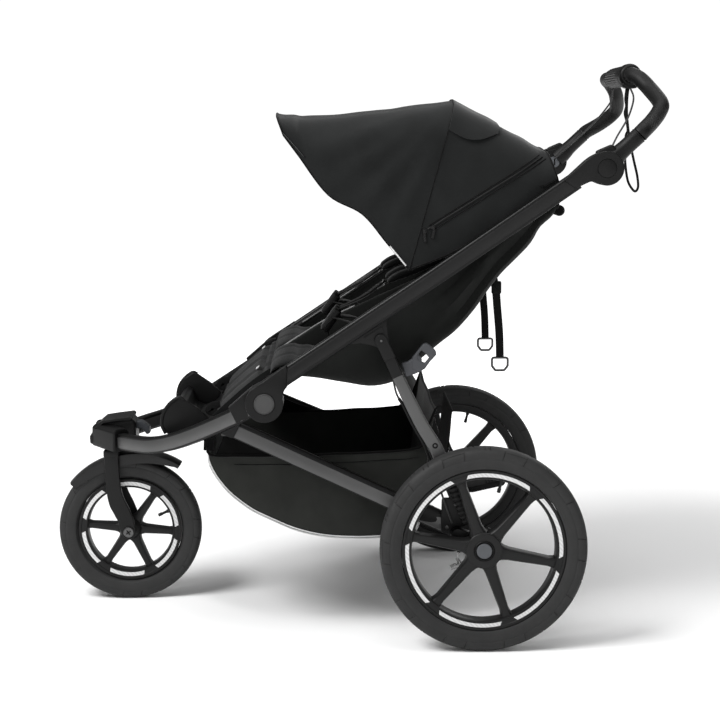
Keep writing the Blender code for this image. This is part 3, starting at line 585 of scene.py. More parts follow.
def floor_paper():
    """Matt white paper that glows evenly white away from the object, so no horizon shows."""
    made = Surface("floor_paper", 248, 0.9, specular=0.1)
    away = made.nodes.new("ShaderNodeVectorMath")
    away.operation = "LENGTH"
    made.links.new(made.place.outputs["Object"], away.inputs[0])
    glow = made.nodes.new("ShaderNodeMapRange")
    glow.interpolation_type = "SMOOTHSTEP"
    glow.inputs["From Min"].default_value = 0.9
    glow.inputs["From Max"].default_value = 3.2
    glow.inputs["To Max"].default_value = 0.9
    made.links.new(away.outputs["Value"], glow.inputs["Value"])
    made.shader.inputs["Emission Color"].default_value = (1, 1, 1, 1)
    made.links.new(glow.outputs["Result"], made.shader.inputs["Emission Strength"])
    return made.material


def studio():
    """White sweep of floor and background, a big key from the front left and soft fills."""
    scene = bpy.context.scene
    scene.view_settings.view_transform = "Standard"
    scene.world = bpy.data.worlds.new("studio")
    scene.world.use_nodes = True
    nodes, links = scene.world.node_tree.nodes, scene.world.node_tree.links
    fill = nodes["Background"]
    fill.inputs["Color"].default_value = (1, 1, 1, 1)
    fill.inputs["Strength"].default_value = 0.2
    seen = nodes.new("ShaderNodeBackground")
    seen.inputs["Color"].default_value = (1, 1, 1, 1)
    seen.inputs["Strength"].default_value = 1.05
    path, mix = nodes.new("ShaderNodeLightPath"), nodes.new("ShaderNodeMixShader")
    links.new(path.outputs["Is Camera Ray"], mix.inputs["Fac"])
    links.new(fill.outputs["Background"], mix.inputs[1])
    links.new(seen.outputs["Background"], mix.inputs[2])
    links.new(mix.outputs["Shader"], nodes["World Output"].inputs["Surface"])

    softbox("key", (1.6, -2.3, 3.4), (0, 0.0, 0.4), (1.7, 1.7), 185)
    softbox("top", (0.3, 0.4, 3.8), (0, 0, 0.4), (3.2, 3.2), 70)
    softbox("camera_fill", (4.6, 0.8, 1.8), (0, 0, 0.5), (2.4, 2.4), 26)
    softbox("back_fill", (-2.6, 2.0, 2.2), (0, 0, 0.5), (2.0, 2.0), 30)

    corners = [(x * FLOOR_HALF, y * FLOOR_HALF, 0) for x, y in ((-1, -1), (1, -1), (1, 1), (-1, 1))]
    floor = place("floor", corners, [(0, 1, 2, 3)], floor_paper(), None)


camera()
studio()


# ---- free cords -----------------------------------------------------------------------
WRIST_STRAP = [(0.11, 0.56, 1.0795), (0.111, 0.558, 1.059), (0.111, 0.56, 1.0449),
               (0.111, 0.5574, 1.0308), (0.1115, 0.5613, 1.0145), (0.112, 0.564, 0.9962),
               (0.112, 0.5603, 0.985), (0.112, 0.5598, 0.9514), (0.112, 0.561, 0.9268),
               (0.113, 0.5662, 0.8961), (0.114, 0.575, 0.8797), (0.115, 0.5821, 0.8745),
               (0.1165, 0.5869, 0.8838), (0.118, 0.5841, 0.9064), (0.119, 0.5772, 0.933),
               (0.119, 0.5714, 0.9575), (0.119, 0.566, 0.984), (0.119, 0.5626, 1.0064),
               (0.119, 0.56, 1.03), (0.1185, 0.56, 1.059), (0.117, 0.562, 1.0795)]
BRAKE_CABLES = {
    "left": [(0.127, 0.564, 1.08), (0.13, 0.57, 1.065), (0.138, 0.568, 1.05),
             (0.16, 0.5562, 1.0245), (0.19, 0.5409, 1.0059), (0.23, 0.5219, 0.9861),
             (0.27, 0.506, 0.9687), (0.3, 0.493, 0.952), (0.3115, 0.477, 0.931)],
    "right": [(-0.068, 0.564, 1.083), (-0.071, 0.5632, 1.064), (-0.08, 0.5569, 1.0483),
              (-0.12, 0.5413, 1.0208), (-0.18, 0.5251, 0.9947), (-0.24, 0.5101, 0.9722),
              (-0.285, 0.4966, 0.9536), (-0.312, 0.48, 0.934)],
}
RECLINE = [(0.288, 0.716), (0.2965, 0.684), (0.301, 0.64), (0.3055, 0.59), (0.3075, 0.54)]


def flat_section(width, thickness, edge):
    """Section of flat webbing."""
    w, t = width / 2, thickness / 2
    return rounded([(-w, -t), (w, -t), (w, t), (-w, t)], edge, 2)


def length_of(path):
    return sum((q - p).length for p, q in zip(path, path[1:]))


def wrist_strap():
    """Narrow webbing that leaves the brake housing and comes back to it in one hanging loop."""
    width, thickness = 0.005, 0.0014
    path = curve(WRIST_STRAP, 8)
    webbing = Build().sweep(path, flat_section(width, thickness, 0.0004), (1, 0, 0))
    webbing = webbing.done("wrist_strap_webbing", WEBBING, "handlebar", "webbing", replaced=["wrist_strap"])
    length_of(path)


def recline_straps():
    """Flat webbing that hangs behind each seat, folded round a metal ring at its end."""
    width, thickness = 0.016, 0.002
    section = flat_section(width, thickness, 0.0007)
    for side_name, _ in SIDES:
        low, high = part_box(f"recline_strap_{side_name}")
        x = (low.x + high.x) / 2
        path = curve(at_x(x, RECLINE), 8)
        strap_piece = Build().sweep(path, section, (1, 0, 0))
        stitches = Build()
        for y, z in ((0.3072, 0.548), (0.3068, 0.56)):
            stitches.block((x, y, z), (0.0032, 0.013, 0.0012), 0.0004)
        stitches.block((x, 0.2985, 0.683), (0.006, 0.02, 0.026), 0.004)
        shape = rounded([(-0.016, 0.013), (0.016, 0.013), (0.016, -0.004), (0.009, -0.013),
                         (-0.009, -0.013), (-0.016, -0.004)], 0.005, 4)
        ring_path = [Vector((x, 0.3075 + y, 0.527 + z)) for y, z in shape]
        ring = Build().tube(ring_path, 0.0024, 10, (1, 0, 0), close=True)
        strap_piece = strap_piece.done(f"recline_webbing_{side_name}", WEBBING, "upper_frame", "webbing",
                                       replaced=[f"recline_strap_{side_name}"])
        ring = ring.done(f"recline_ring_{side_name}", DARK_STEEL, "upper_frame", "steel_part")
        sewn = stitches.done(f"recline_stitching_{side_name}", SEAT, "upper_frame", "webbing")
        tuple(path[0])
        length_of(path)


# ---- wheels -------------------------------------------------------------------------
def tread_section(radius, bead, half):
    """Half of a tyre's section from the crown to the bead: (x, radius, share of the tread)."""
    edge = radius - 0.095 * radius
    share = (radius - bead) / 0.0415
    rows = []
    for t in (0.0, 0.12, 0.24, 0.36, 0.47, 0.52, 0.57, 0.68, 0.8, 0.92, 1.0):
        x = half * min(1.0, 1.03 * math.sin(math.pi / 2 * t ** 0.72))
        rows.append((x, radius - (radius - edge) * t ** 2.1, t))
    r = edge
    for drop, x in ((0.0008, 0.972), (0.0016, 1.0), (0.006, 0.995), (0.011, 0.965), (0.016, 0.905),
                    (0.0195, 0.85), (0.0215, 0.8), (0.0222, 0.74)):
        rows.append((half * x, max(r - drop * share, bead + 0.0002), 2.0))
    rows[11] = (half * 0.985, rows[11][1], 2.0)
    return rows


GROOVE_WIDTH = 0.0014
GROOVE_DEPTH, SIPE_DEPTH = 0.0016, 0.0018
BLOCK_SHARE = 0.18


def cut_depth(share, kind):
    """Depth of a cut at that share of the tread's half width."""
    if kind == "end" and 0.47 <= share <= 1.0:
        return GROOVE_DEPTH
    if kind == "sipe" and share <= 0.36:
        return SIPE_DEPTH
    return 0.0


def tread_stations(pitch, blocks, groove):
    """Angles round a tyre in degrees, close together at each cut: (angle, cut's side, kind, cut or not)."""
    arch = BLOCK_SHARE * pitch
    cuts = {}
    for k in range(blocks):
        for side in (-1, 1):
            middle_angle = k * pitch + (0.25 * pitch if side < 0 else 0)
            for offset, kind in ((-arch, "end"), (arch, "end"),
                                 (0.5 * pitch, "sipe"), (0.42 * pitch, "sipe")):
                cuts[round((middle_angle + offset) % 360, 3)] = (side, kind)
    stations = []
    for angle, (side, kind) in cuts.items():
        for shift, depth in ((-1.0, 0), (-0.45, 1), (0.45, 1), (1.0, 0)):
            stations.append((angle + shift * groove, side, kind, depth))
    filled = []
    stations.sort()
    for here, there in zip(stations, stations[1:] + [(stations[0][0] + 360, *stations[0][1:])]):
        filled.append(here)
        gap = there[0] - here[0]
        extra = int(gap // 2.2)
        filled += [(here[0] + gap * (i + 1) / (extra + 1), 0, "", 0) for i in range(extra)]
    return filled


def tyre(name, body, node, centre, radius, bead, half, blocks):
    """Road tyre with a moulded bead line, shoulder blocks and short sipes cut into the tread."""
    half_rows = tread_section(radius, bead, half)
    rows = [(-x, r, t, -1) for x, r, t in reversed(half_rows)] + [(x, r, t, 1) for x, r, t in half_rows[1:]]
    rows += [(half * 0.5, bead, 2.0, 1), (-half * 0.5, bead, 2.0, -1)]
    pitch = 360 / blocks
    groove = math.degrees(GROOVE_WIDTH / radius)
    rings = []
    for angle, cut_side, kind, depth in tread_stations(pitch, blocks, groove):
        ring = []
        for x, r, t, row_side in rows:
            deep = cut_depth(t, kind) if depth and row_side == cut_side else 0.0
            local = (angle - (0.25 * pitch if row_side < 0 else 0) + pitch / 2) % pitch - pitch / 2
            if 0.515 < t < 0.525 and abs(local) <= BLOCK_SHARE * pitch + groove:
                deep = GROOVE_DEPTH
            skew = 0.35 * math.degrees(0.012 / radius) * min(t, 1.0) ** 2 * row_side
            turn = math.radians(angle + skew)
            normal_x = deep * min(1.0, t) * 0.7
            ring.append((centre[0] + x - math.copysign(normal_x, x),
                         centre[1] + (r - deep) * math.cos(turn), centre[2] + (r - deep) * math.sin(turn)))
        rings.append(ring)
    return Build().rings(rings, close=True).done(name, TYRE, body, "tyre_rubber", 30, [node])


def wheel_ring(build, centre, side, outer, inner, half):
    """Rim ring with a lip, a shallow channel for the reflective strips and a deep inner wall."""
    depth = outer - inner
    profile = [(0.0, outer - 0.0025), (half - 0.001, outer), (half + 0.0012, outer - 0.0006),
               (half + 0.0018, outer - 0.002), (half + 0.0012, outer - 0.28 * depth),
               (half + 0.0002, outer - 0.31 * depth), (half - 0.0002, outer - 0.33 * depth),
               (half - 0.0002, outer - 0.74 * depth), (half + 0.0004, outer - 0.77 * depth),
               (half, outer - 0.9 * depth), (half - 0.003, inner + 0.0006), (half - 0.006, inner),
               (-half + 0.004, inner), (-half, inner + 0.002), (-half - 0.0015, outer - 0.004),
               (-half - 0.0008, outer - 0.0006), (-half + 0.001, outer)]
    build.spin(profile, centre, (side, 0, 0), 144, True)


SPOKE_TURNS = range(0, 360, 60)
SPOKE_STATIONS = ((0.0, 0.026, 0.036, 0.0), (0.06, 0.02, 0.029, 0.0), (0.16, 0.0165, 0.0245, 0.0),
                  (0.5, 0.0148, 0.0215, 0.0003), (0.88, 0.013, 0.0185, 0.0),
                  (0.96, 0.015, 0.0215, -0.001), (1.03, 0.019, 0.028, -0.002))


def spoke(build, centre, side, angle, inner, outer, front, back):
    """Tapered spoke with a flat face, sloping flanks and wide feet at both ends."""
    reach = outer - inner
    out = Vector((0, math.cos(math.radians(angle)), math.sin(math.radians(angle))))
    across = Vector((0, -out.z, out.y))
    rings = []
    for share, face, base, lift in SPOKE_STATIONS:
        scale = min(1.0, outer / 0.14)
        face, base = face * (0.45 + 0.55 * scale) / 2, base * (0.45 + 0.55 * scale) / 2
        lip, chamfer = front + lift, 0.0012
        section = [(lip, -face + chamfer), (lip, face - chamfer), (lip - chamfer * 0.6, face),
                   (lip - 0.006, base * 0.93), (back, base), (back, -base),
                   (lip - 0.006, -base * 0.93), (lip - chamfer * 0.6, -face)]
        spot = Vector(centre) + out * (inner + reach * share)
        rings.append([spot + Vector((side * x, 0, 0)) + across * w for x, w in section])
    build.rings(rings)


TAPE_SLANT = 0.9


def reflectors(name, body, centre, side, start, low, high, x, spread_angle):
    """Six arcs of silver tape with slanted ends in the rim's channel."""
    build = Build()
    for turn in SPOKE_TURNS:
        middle_angle = start + 30 + turn
        first, last = middle_angle - spread_angle, middle_angle + spread_angle
        outer = arc(side_view(centre), high, first + TAPE_SLANT, last - TAPE_SLANT, 24)
        inner = arc(side_view(centre), low, first - TAPE_SLANT, last + TAPE_SLANT, 24)
        build.rings([[(centre[0] + side * d, *point) for point, d in
                      ((a, x - 0.0006), (a, x), (b, x), (b, x - 0.0006))] for a, b in zip(outer, inner)])
    build.done(name, REFLECT, body, "rim_metal", 30)


def valve(name, body, centre, angle, inner):
    """Tyre valve with its cap, pointing from the rim towards the hub."""
    out = Vector((0, math.cos(math.radians(angle)), math.sin(math.radians(angle))))
    foot = Vector(centre) + out * inner
    profile = [(-0.002, 0), (-0.002, 0.0042), (0.004, 0.0042), (0.006, 0.003), (0.016, 0.0028),
               (0.0165, 0.0036), (0.024, 0.0036), (0.025, 0.0028), (0.025, 0)]
    Build().spin(profile, foot, -out, 16).done(name, RUBBER, body, "soft_rubber")


@sided
def rear_wheels(side_name, side):
    """Each rear wheel with its tape, valve, hub ring, release button and brake disc."""
    body, node = f"rear_wheel_{side_name}", f"rear_rim_{side_name}"
    centre = Vector((side * REAR_WHEEL_X, *REAR_AXLE))
    tyre(f"rear_tyre_{side_name}_tread", body, f"rear_tyre_{side_name}", centre,
         REAR_RADIUS, 0.1585, 0.023, 10)
    wheel = Build()
    wheel_ring(wheel, centre, side, 0.158, 0.1385, 0.0165)
    hub = [(-0.02, 0.008), (-0.02, 0.026), (-0.0185, 0.0275), (-0.012, 0.029), (0.004, 0.033),
           (0.014, 0.035), (0.0168, 0.0349), (0.018, 0.0338), (0.0184, 0.0325), (0.0184, 0.0205),
           (0.0176, 0.0198), (0.011, 0.0196), (0.011, 0.008)]
    wheel.spin(hub, centre, (side, 0, 0), 64, True)
    for turn in SPOKE_TURNS:
        spoke(wheel, centre, side, 49 + turn, 0.031, 0.139, 0.015, -0.006)
    wheel.done(f"rear_rim_{side_name}_cast", RIM, body, "rim_metal", 32, [node])
    reflectors(f"rear_reflectors_{side_name}", body, centre, side, 49, 0.1443, 0.1516, 0.0172, 24.2)
    valve(f"rear_valve_{side_name}", body, centre, 76, 0.1385)
    ring = [(0.015, 0.0163), (0.0188, 0.0163), (0.0194, 0.017), (0.0192, 0.0186), (0.018, 0.0197),
            (0.015, 0.0197)]
    Build().spin(ring, centre, (side, 0, 0), 48, True).done(
        f"rear_hub_ring_{side_name}", DARK, body, "soft_rubber")
    button = [(0.0175, 0), (0.0175, 0.0146), (0.0205, 0.0148), (0.0218, 0.0142), (0.0222, 0.0128),
              (0.0215, 0.009), (0.0212, 0)]
    Build().spin(button, centre, (side, 0, 0), 40).done(
        f"rear_button_{side_name}", BUTTON, f"axle_button_{side_name}", "button_plastic",
        replaced=[f"release_button_{side_name}"])
    drum = [(-0.0215, 0.015), (-0.0215, 0.03), (-0.0205, 0.0312), (-0.0185, 0.0312), (-0.0185, 0.015)]
    Build().spin(drum, centre, (side, 0, 0), 48, True).done(
        f"brake_disc_{side_name}", DARK_STEEL, body, "steel_part")


def front_wheel():
    """The single front wheel, with tape on both of its faces."""
    centre = Vector((0, *FRONT_AXLE))
    tyre("front_tyre_tread", "front_wheel", "front_tyre", centre, FRONT_RADIUS, 0.1105, 0.0215, 8)
    wheel = Build()
    wheel_ring(wheel, centre, 1, 0.11, 0.09, 0.015)
    hub = [(-0.02, 0.007), (-0.02, 0.017), (-0.018, 0.019), (-0.013, 0.0235), (-0.008, 0.025),
           (0.008, 0.025), (0.013, 0.0235), (0.018, 0.019), (0.02, 0.017), (0.02, 0.007)]
    wheel.spin(hub, centre, (1, 0, 0), 56, True)
    for turn in SPOKE_TURNS:
        spoke(wheel, centre, 1, 55 + turn, 0.022, 0.0905, 0.0115, -0.0085)
    wheel.done("front_rim_cast", RIM, "front_wheel", "rim_metal", 32, ["front_rim"])
    for side_name, side in SIDES:
        reflectors(f"front_reflectors_{side_name}", "front_wheel", centre, side, 55,
                   0.0955, 0.1035, 0.0156, 21.5)
    valve("front_valve", "front_wheel", centre, 24, 0.09)


# ---- rails, arms and castings -----------------------------------------------------------
RAIL_ROUTE = [(-0.129, 0.5288), (0.162, 0.723), (0.425, 0.903)]
ARM_ROUTE = [(0.079, -0.4708, 0.3556), (0.125, -0.438, 0.36), (0.17, -0.4, 0.366),
             (0.215, -0.355, 0.381), (0.26, -0.305, 0.405), (0.3, -0.258, 0.431),
             (0.326, -0.22, 0.453), (0.33, -0.196, 0.467)]
LOWER_ROUTE = [(0.252, -0.25, 0.418), (0.2545, -0.23, 0.4165), (0.259, -0.19, 0.4),
               (0.288, 0.06, 0.289), (0.304, 0.191, 0.233)]


def bar_sections(half_width, half_height, cap, foot):
    """The face, top strip and bottom strip of an extruded bar, as flat sections."""
    w, h = half_width, half_height
    face_top, face_low = h - cap, foot - h
    face = [(w, face_low + 0.002), (w, face_top - 0.0028), (w - 0.0016, face_top), (0.0016 - w, face_top),
            (-w, face_top - 0.0028), (-w, face_low + 0.002), (0.0016 - w, face_low), (w - 0.0016, face_low)]
    step = w - 0.0012
    top = [(step, face_top - 0.0012), (step, face_top + 0.3 * cap), (step - 0.3 * cap, h - 0.12 * cap),
           (step - 0.6 * cap, h), (0.6 * cap - step, h), (0.3 * cap - step, h - 0.12 * cap),
           (-step, face_top + 0.3 * cap), (-step, face_top - 0.0012)]
    low = [(step, face_low + 0.001), (step, face_low - 0.25 * foot), (step - 0.45 * foot, -h + 0.1 * foot),
           (step - 0.7 * foot, -h), (0.7 * foot - step, -h), (0.45 * foot - step, -h + 0.1 * foot),
           (-step, face_low - 0.25 * foot), (-step, face_low + 0.001)]
    return face, top, low


def trimmed_bar(name, node, path, sections, material, body):
    """Extruded tube with a lighter flat face and dark rounded strips above and below it; the strips take a
    darker copy of the tube's finish, painted shade for the dark reflections on its bevels.
    """
    face, top, low = sections
    Build().sweep(path, face).done(name, material, body, "frame_tube", 30, [node])
    # painted shade: the top and bottom strips get the darker copy of the finish
    Build().sweep(path, top).sweep(path, low).done(f"{name}_edges", PAINTED_SHADE_TUBE, body, "frame_tube", 42)


@sided
def seat_rails(side_name, side):
    """The two long side rails that run from the hubs up to the handle joints."""
    path = at_x(side * RAIL_X, RAIL_ROUTE)
    sections = bar_sections(0.0125, 0.0165, 0.0058, 0.005)
    trimmed_bar(f"seat_rail_{side_name}_extrusion", f"seat_rail_{side_name}", path, sections, RAIL,
                "upper_frame")


def polar(centre, points):
    return [(centre[0] + y, centre[1] + z) for y, z in points]


def sloping_plate(build, side, centre, outline, hole, floor, back, height, edge=0.0016):
    """A plate with a round pocket whose face height is a function of the distance from the centre.

    Rings of points run from the back of the outline over its rounded edge and across the
    face to the pocket, so the face can slope smoothly.
    """
    middle_point = Vector(centre)
    rings = [[(side * back, y, z) for y, z in outline]]
    for depth, inset in reversed(EDGE):
        ring = []
        for y, z in shrink(outline, inset * edge):
            ring.append((side * (height((Vector((y, z)) - middle_point).length) - depth * edge), y, z))
        rings.append(ring)
    inner = shrink(outline, edge)
    for share in (0.8, 0.6, 0.42, 0.28, 0.16, 0.07, 0.02):
        ring = []
        for y, z in inner:
            away = Vector((y, z)) - middle_point
            reach = hole + (away.length - hole) * share
            spot = middle_point + away.normalized() * reach
            ring.append((side * height(reach), spot.x, spot.y))
        rings.append(ring)
    for reach, x in ((hole, height(hole) - 0.0004), (hole, floor)):
        ring = []
        for y, z in inner:
            spot = middle_point + (Vector((y, z)) - middle_point).normalized() * reach
            ring.append((side * x, spot.x, spot.y))
        rings.append(ring)
    return build.rings(rings)


def smooth(value, low, high):
    t = min(1.0, max(0.0, (value - low) / (high - low)))
    return t * t * (3 - 2 * t)


def filled_out(outline, spacing=0.004):
    """The same closed outline with extra points, so no side of it is longer than the spacing."""
    result = []
    for p, q in zip(outline, outline[1:] + outline[:1]):
        parts = max(1, math.ceil((Vector(q) - Vector(p)).length / spacing))
        result += [(p[0] + (q[0] - p[0]) * i / parts, p[1] + (q[1] - p[1]) * i / parts) for i in range(parts)]
    return result


def round_cap(build, centre, side, low, high, radius, groove=None):
    """Flat button with a rounded rim and, if asked, one shallow ring groove."""
    profile = [(low, 0), (low, radius), (high - 0.0012, radius), (high - 0.0004, radius - 0.0003),
               (high, radius - 0.0012)]
    if groove:
        profile += [(high, groove + 0.0006), (high - 0.0006, groove + 0.0003),
                    (high - 0.0006, groove - 0.0003), (high, groove - 0.0006)]
    return build.spin(profile + [(high, 0)], centre, (side, 0, 0), 56)


@sided
def hubs(side_name, side):
    """The big fold joints: a flat round casting that runs into the rail, and a plain cap."""
    outline = polar(HUB, [(-0.0203, 0.0304), (0.002, 0.0456), (0.0425, 0.0728), (0.0435, 0.0318)]
                    + bow((0.0435, 0.0318), (0.0362, 0.0262), (0.0345, 0.0095), 8)[1:])
    outline += arc(HUB, 0.036, 8, -236, 60)
    outline = filled_out(outline)
    build = Build()
    sloping_plate(build, side, HUB, outline, 0.0203, 0.364, 0.3412,
                  lambda reach: 0.368 - 0.0088 * smooth(reach, 0.034, 0.072))
    build.done(f"hub_{side_name}_casting", CASTING, "upper_frame", "casting", 28, [f"hub_{side_name}"])
    cap = round_cap(Build(), (0, *HUB), side, 0.36, 0.37, 0.0196, 0.0176)
    cap.done(f"hub_{side_name}_cap", CAP, "upper_frame", "moulded_plastic", 28)


@sided
def handle_joints(side_name, side):
    """Tilt joints at the top of the rails, with a round cover marked by a fine seam."""
    upper = polar(HANDLE, [(-0.0788, -0.0215), (-0.0454, 0.0096)] + bow((-0.0454, 0.0096), (-0.025, 0.029),
                                                                       (-0.002, 0.0319), 8)[1:])
    lower = polar(HANDLE, bow((-0.001, -0.032), (-0.012, -0.031), (-0.022, -0.0262), 6)
                  + bow((-0.022, -0.0262), (-0.029, -0.0225), (-0.036, -0.027), 6)[1:] + [(-0.0576, -0.0378)])
    outline = filled_out(upper[::-1] + lower[::-1] + arc(HANDLE, 0.032, -90, 90, 30)[1:-1])
    if area_sign(outline) < 0:
        outline.reverse()
    build = Build()
    sloping_plate(build, side, HANDLE, outline, 0.0178, 0.3685, 0.3442,
                  lambda reach: 0.37 - 0.0095 * smooth(reach, 0.03, 0.075))
    build.done(f"handle_joint_{side_name}_casting", CASTING, "upper_frame", "casting", 28,
               [f"handle_joint_{side_name}"])
    cover = round_cap(Build(), (0, *HANDLE), side, 0.36, 0.3698, 0.0174)
    cover.done(f"handle_joint_{side_name}_cover", CASTING, "upper_frame", "casting", 28)


@sided
def front_arms(side_name, side):
    """Curved arms from the hubs to the steering head, with the sleeves that hold them."""
    route = curve(ARM_ROUTE, 7)
    sections = bar_sections(0.0105, 0.017, 0.0062, 0.003)
    sleeve = polar(HUB, [(-0.0695, -0.0112), (-0.0228, 0.0292)])
    sleeve += arc(HUB, 0.0362, 128, -130, 40)
    sleeve += polar(HUB, [(-0.033, -0.034), (-0.044, -0.0362), (-0.0545, -0.0427)])
    path = mirrored(route, side)
    trimmed_bar(f"front_arm_{side_name}_extrusion", f"front_arm_{side_name}", path, sections, TUBE,
                "front_frame")
    plate = Build().panel(sleeve, 0.3188, 0.3406, 0.0018, side)
    plate.done(f"front_arm_{side_name}_sleeve", DARK_CASTING, "front_frame", "casting", 30)


# ---- steering head, fork and fender -------------------------------------------------------
def head_housing():
    """Wedge over the steering stem: flat cover, thick side collars for the arms, round cup."""
    shell = rounded([(-0.545, 0.342), (-0.546, 0.356), (-0.532, 0.379), (-0.52, 0.389),
                     (-0.458, 0.397), (-0.448, 0.386), (-0.448, 0.33), (-0.52, 0.33)],
                    [0.004, 0.01, 0.012, 0.006, 0.005, 0.006, 0.004, 0.006])
    body = Build()
    layers = [(-0.03, 0.006), (-0.029, 0.003), (-0.026, 0.0), (0.026, 0.0), (0.029, 0.003), (0.03, 0.006)]
    body.plate(shell, layers)
    body.done("front_housing_shell", DARK_CASTING, "front_frame", "casting", 34, ["front_housing"])

    lid_line = [(-0.535, 0.374), (-0.527, 0.384), (-0.516, 0.393), (-0.49, 0.397), (-0.459, 0.4008),
                (-0.454, 0.398), (-0.455, 0.393), (-0.49, 0.39), (-0.514, 0.3865), (-0.525, 0.378)]
    lid = Build().plate(lid_line, [(-0.04, 0.0012), (-0.0385, 0.0), (0.0385, 0.0), (0.04, 0.0012)])
    lid.done("front_housing_lid", CASTING, "front_frame", "casting", 34)

    collars, lips = Build(), Build()
    section = rounded([(-0.021, -0.024), (0.019, -0.024), (0.019, 0.02), (0.011, 0.026),
                       (-0.012, 0.026), (-0.021, 0.018)], 0.007, 4)
    for _, side in SIDES:
        start, end = Vector((side * 0.015, -0.528, 0.359)), Vector((side * 0.075, -0.474, 0.356))
        run = (end - start).normalized()
        path = [start, start + run * 0.002, end - run * 0.0035, end - run * 0.001, end]
        collars.sweep(path, section, (0, 0, 1), [0.84, 0.94, 0.98, 0.96, 0.9])
        lips.sweep([end - run * 0.0005, end + run * 0.001, end + run * 0.0022], section, (0, 0, 1),
                   [0.92, 0.92, 0.85])
    collars.done("front_housing_collars", CASTING, "front_frame", "casting", 34)
    lips.done("front_housing_lips", DARK, "front_frame", "casting", 34)

    cup = [(0.33, 0.012), (0.33, 0.0215), (0.3285, 0.0225), (0.3285, 0.0235), (0.333, 0.0252),
           (0.338, 0.0265), (0.344, 0.027), (0.35, 0.0255), (0.35, 0.012)]
    Build().spin(cup, (0, STEER_Y, 0), (0, 0, 1), 56, True).done(
        "front_housing_cup", CASTING, "front_frame", "casting", 30)
    # painted shade: a thin dark block on the housing stands in for the shade in a slot
    Build().block((0, -0.5375, 0.3705), (0.024, 0.002, 0.005), 0.0004).done(
        "front_housing_slot_painted_shade", DARK, "front_frame", "casting")


def swivel_lever():
    """Paddle with a ribbed thumb pad behind the steering head."""
    outline = rounded([(-0.466, 0.385), (-0.438, 0.386), (-0.422, 0.374), (-0.42, 0.36),
                       (-0.427, 0.358), (-0.436, 0.37), (-0.466, 0.372)],
                      [0.0, 0.005, 0.006, 0.003, 0.003, 0.005, 0.0])
    paddle = Build().panel(outline, -0.015, 0.015, 0.0022)
    for i in range(4):
        paddle.block((0, -0.429 + 0.0024 * i, 0.3802 - 0.0026 * i), (0.02, 0.0009, 0.0022), 0.0003)
    paddle.done("swivel_lock_paddle", LEVER, "swivel_lock", "button_plastic", 30, ["swivel_lock_lever"])


def fork():
    """Two flat bent blades under a round crown, with the axle through their feet."""
    blade = [(-0.515, 0.322), (-0.513, 0.252), (-0.507, 0.213), (-0.4985, 0.1935), (-0.483, 0.164)]
    blade = curve(blade, 5)
    back = curve([(-0.454, 0.175), (-0.464, 0.201), (-0.4765, 0.229), (-0.4825, 0.262), (-0.485, 0.322)], 5)
    foot = arc(FRONT_AXLE, 0.016, 202, 352, 12)
    outline = [tuple(p) for p in blade[:-2]] + foot + [tuple(p) for p in back[1:]]
    fork_piece = Build()
    for _, side in SIDES:
        fork_piece.panel(outline, 0.0305, 0.04, 0.0026, side)
    crown = rounded([(-0.5165, 0.313), (-0.4845, 0.313), (-0.4845, 0.3285), (-0.5165, 0.3285)], 0.004, 3)
    fork_piece.plate(crown, [(-0.0405, 0.003), (-0.0395, 0.001), (-0.037, 0.0), (0.037, 0.0),
                             (0.0395, 0.001), (0.0405, 0.003)])
    fork_piece.rod((0, STEER_Y, 0.324), (0, STEER_Y, 0.34), 0.015, 36)
    fork_piece.done("front_fork_blades", FORK, "caster", "frame_tube", 34, ["front_fork"])
    axle = Build().rod((-0.043, *FRONT_AXLE), (0.043, *FRONT_AXLE), 0.0055, 20)
    for _, side in SIDES:
        axle.spin([(0.04, 0), (0.04, 0.0112), (0.044, 0.0112), (0.0455, 0.0104), (0.0461, 0.008),
                   (0.0461, 0.004), (0.045, 0.0034), (0.045, 0)], (0, *FRONT_AXLE), (side, 0, 0), 36)
    axle.done("front_axle_bolts", BOLT, "caster", "steel_part", 30, ["front_axle"])
    # painted shade: a flat dark cross on each bolt face stands in for the shade inside its cross recess
    recess = Build()
    for _, side in SIDES:
        for tilt in (0.6, 0.6 + math.pi / 2):
            turn = Matrix.Rotation(tilt, 3, "X")
            recess.block((side * 0.046, *FRONT_AXLE), (0.001, 0.0125, 0.0022), 0.0003, turn)
    recess.done("front_axle_recess_painted_shade", DARK, "caster", "steel_part")


def fender():
    """Curved mudguard: pressed shell with a thick rolled lip and squared ends."""
    rings = []
    steps = 40
    for i in range(steps + 1):
        t = i / steps
        angle = math.radians(141 - 89 * t)
        radius = 0.1575 + 0.0185 * max(0.0, t - 0.35) / 0.65
        half = 0.027 * (0.9 + 0.1 * min(1.0, 8 * t, 8 * (1 - t)))
        skirt = 0.007 + 0.015 * math.sin(math.pi * min(1.0, 0.08 + 0.95 * t)) ** 0.7
        section = [(-half, -skirt), (-half - 0.0008, -0.5 * skirt), (-half, 0.0012), (-0.62 * half, 0.0038),
                   (0.0, 0.005), (0.62 * half, 0.0038), (half, 0.0012), (half + 0.0008, -0.5 * skirt),
                   (half, -skirt), (half - 0.002, -skirt), (half - 0.0026, -0.001), (0.6 * half, 0.0014),
                   (0.0, 0.0026), (-0.6 * half, 0.0014), (0.0026 - half, -0.001), (0.002 - half, -skirt)]
        rings.append([(x, FRONT_AXLE[0] + (radius + lift) * math.cos(angle),
                       FRONT_AXLE[1] + (radius + lift) * math.sin(angle)) for x, lift in section])
    Build().rings(rings).done("front_fender_shell", FENDER, "caster", "fender_plastic", 40, ["front_fender"])


# ---- rear legs and suspension -------------------------------------------------------------
LEG_LINE = [(0.0594, 0.6023), (0.072, 0.576), (0.096, 0.522), (0.119, 0.474), (0.14, 0.433),
            (0.163, 0.396), (0.1735, 0.373), (0.186, 0.34), (0.193, 0.323)]
LEG_WIDTHS = [0.02, 0.021, 0.0225, 0.0245, 0.0255, 0.0262, 0.0265, 0.0262, 0.0255]


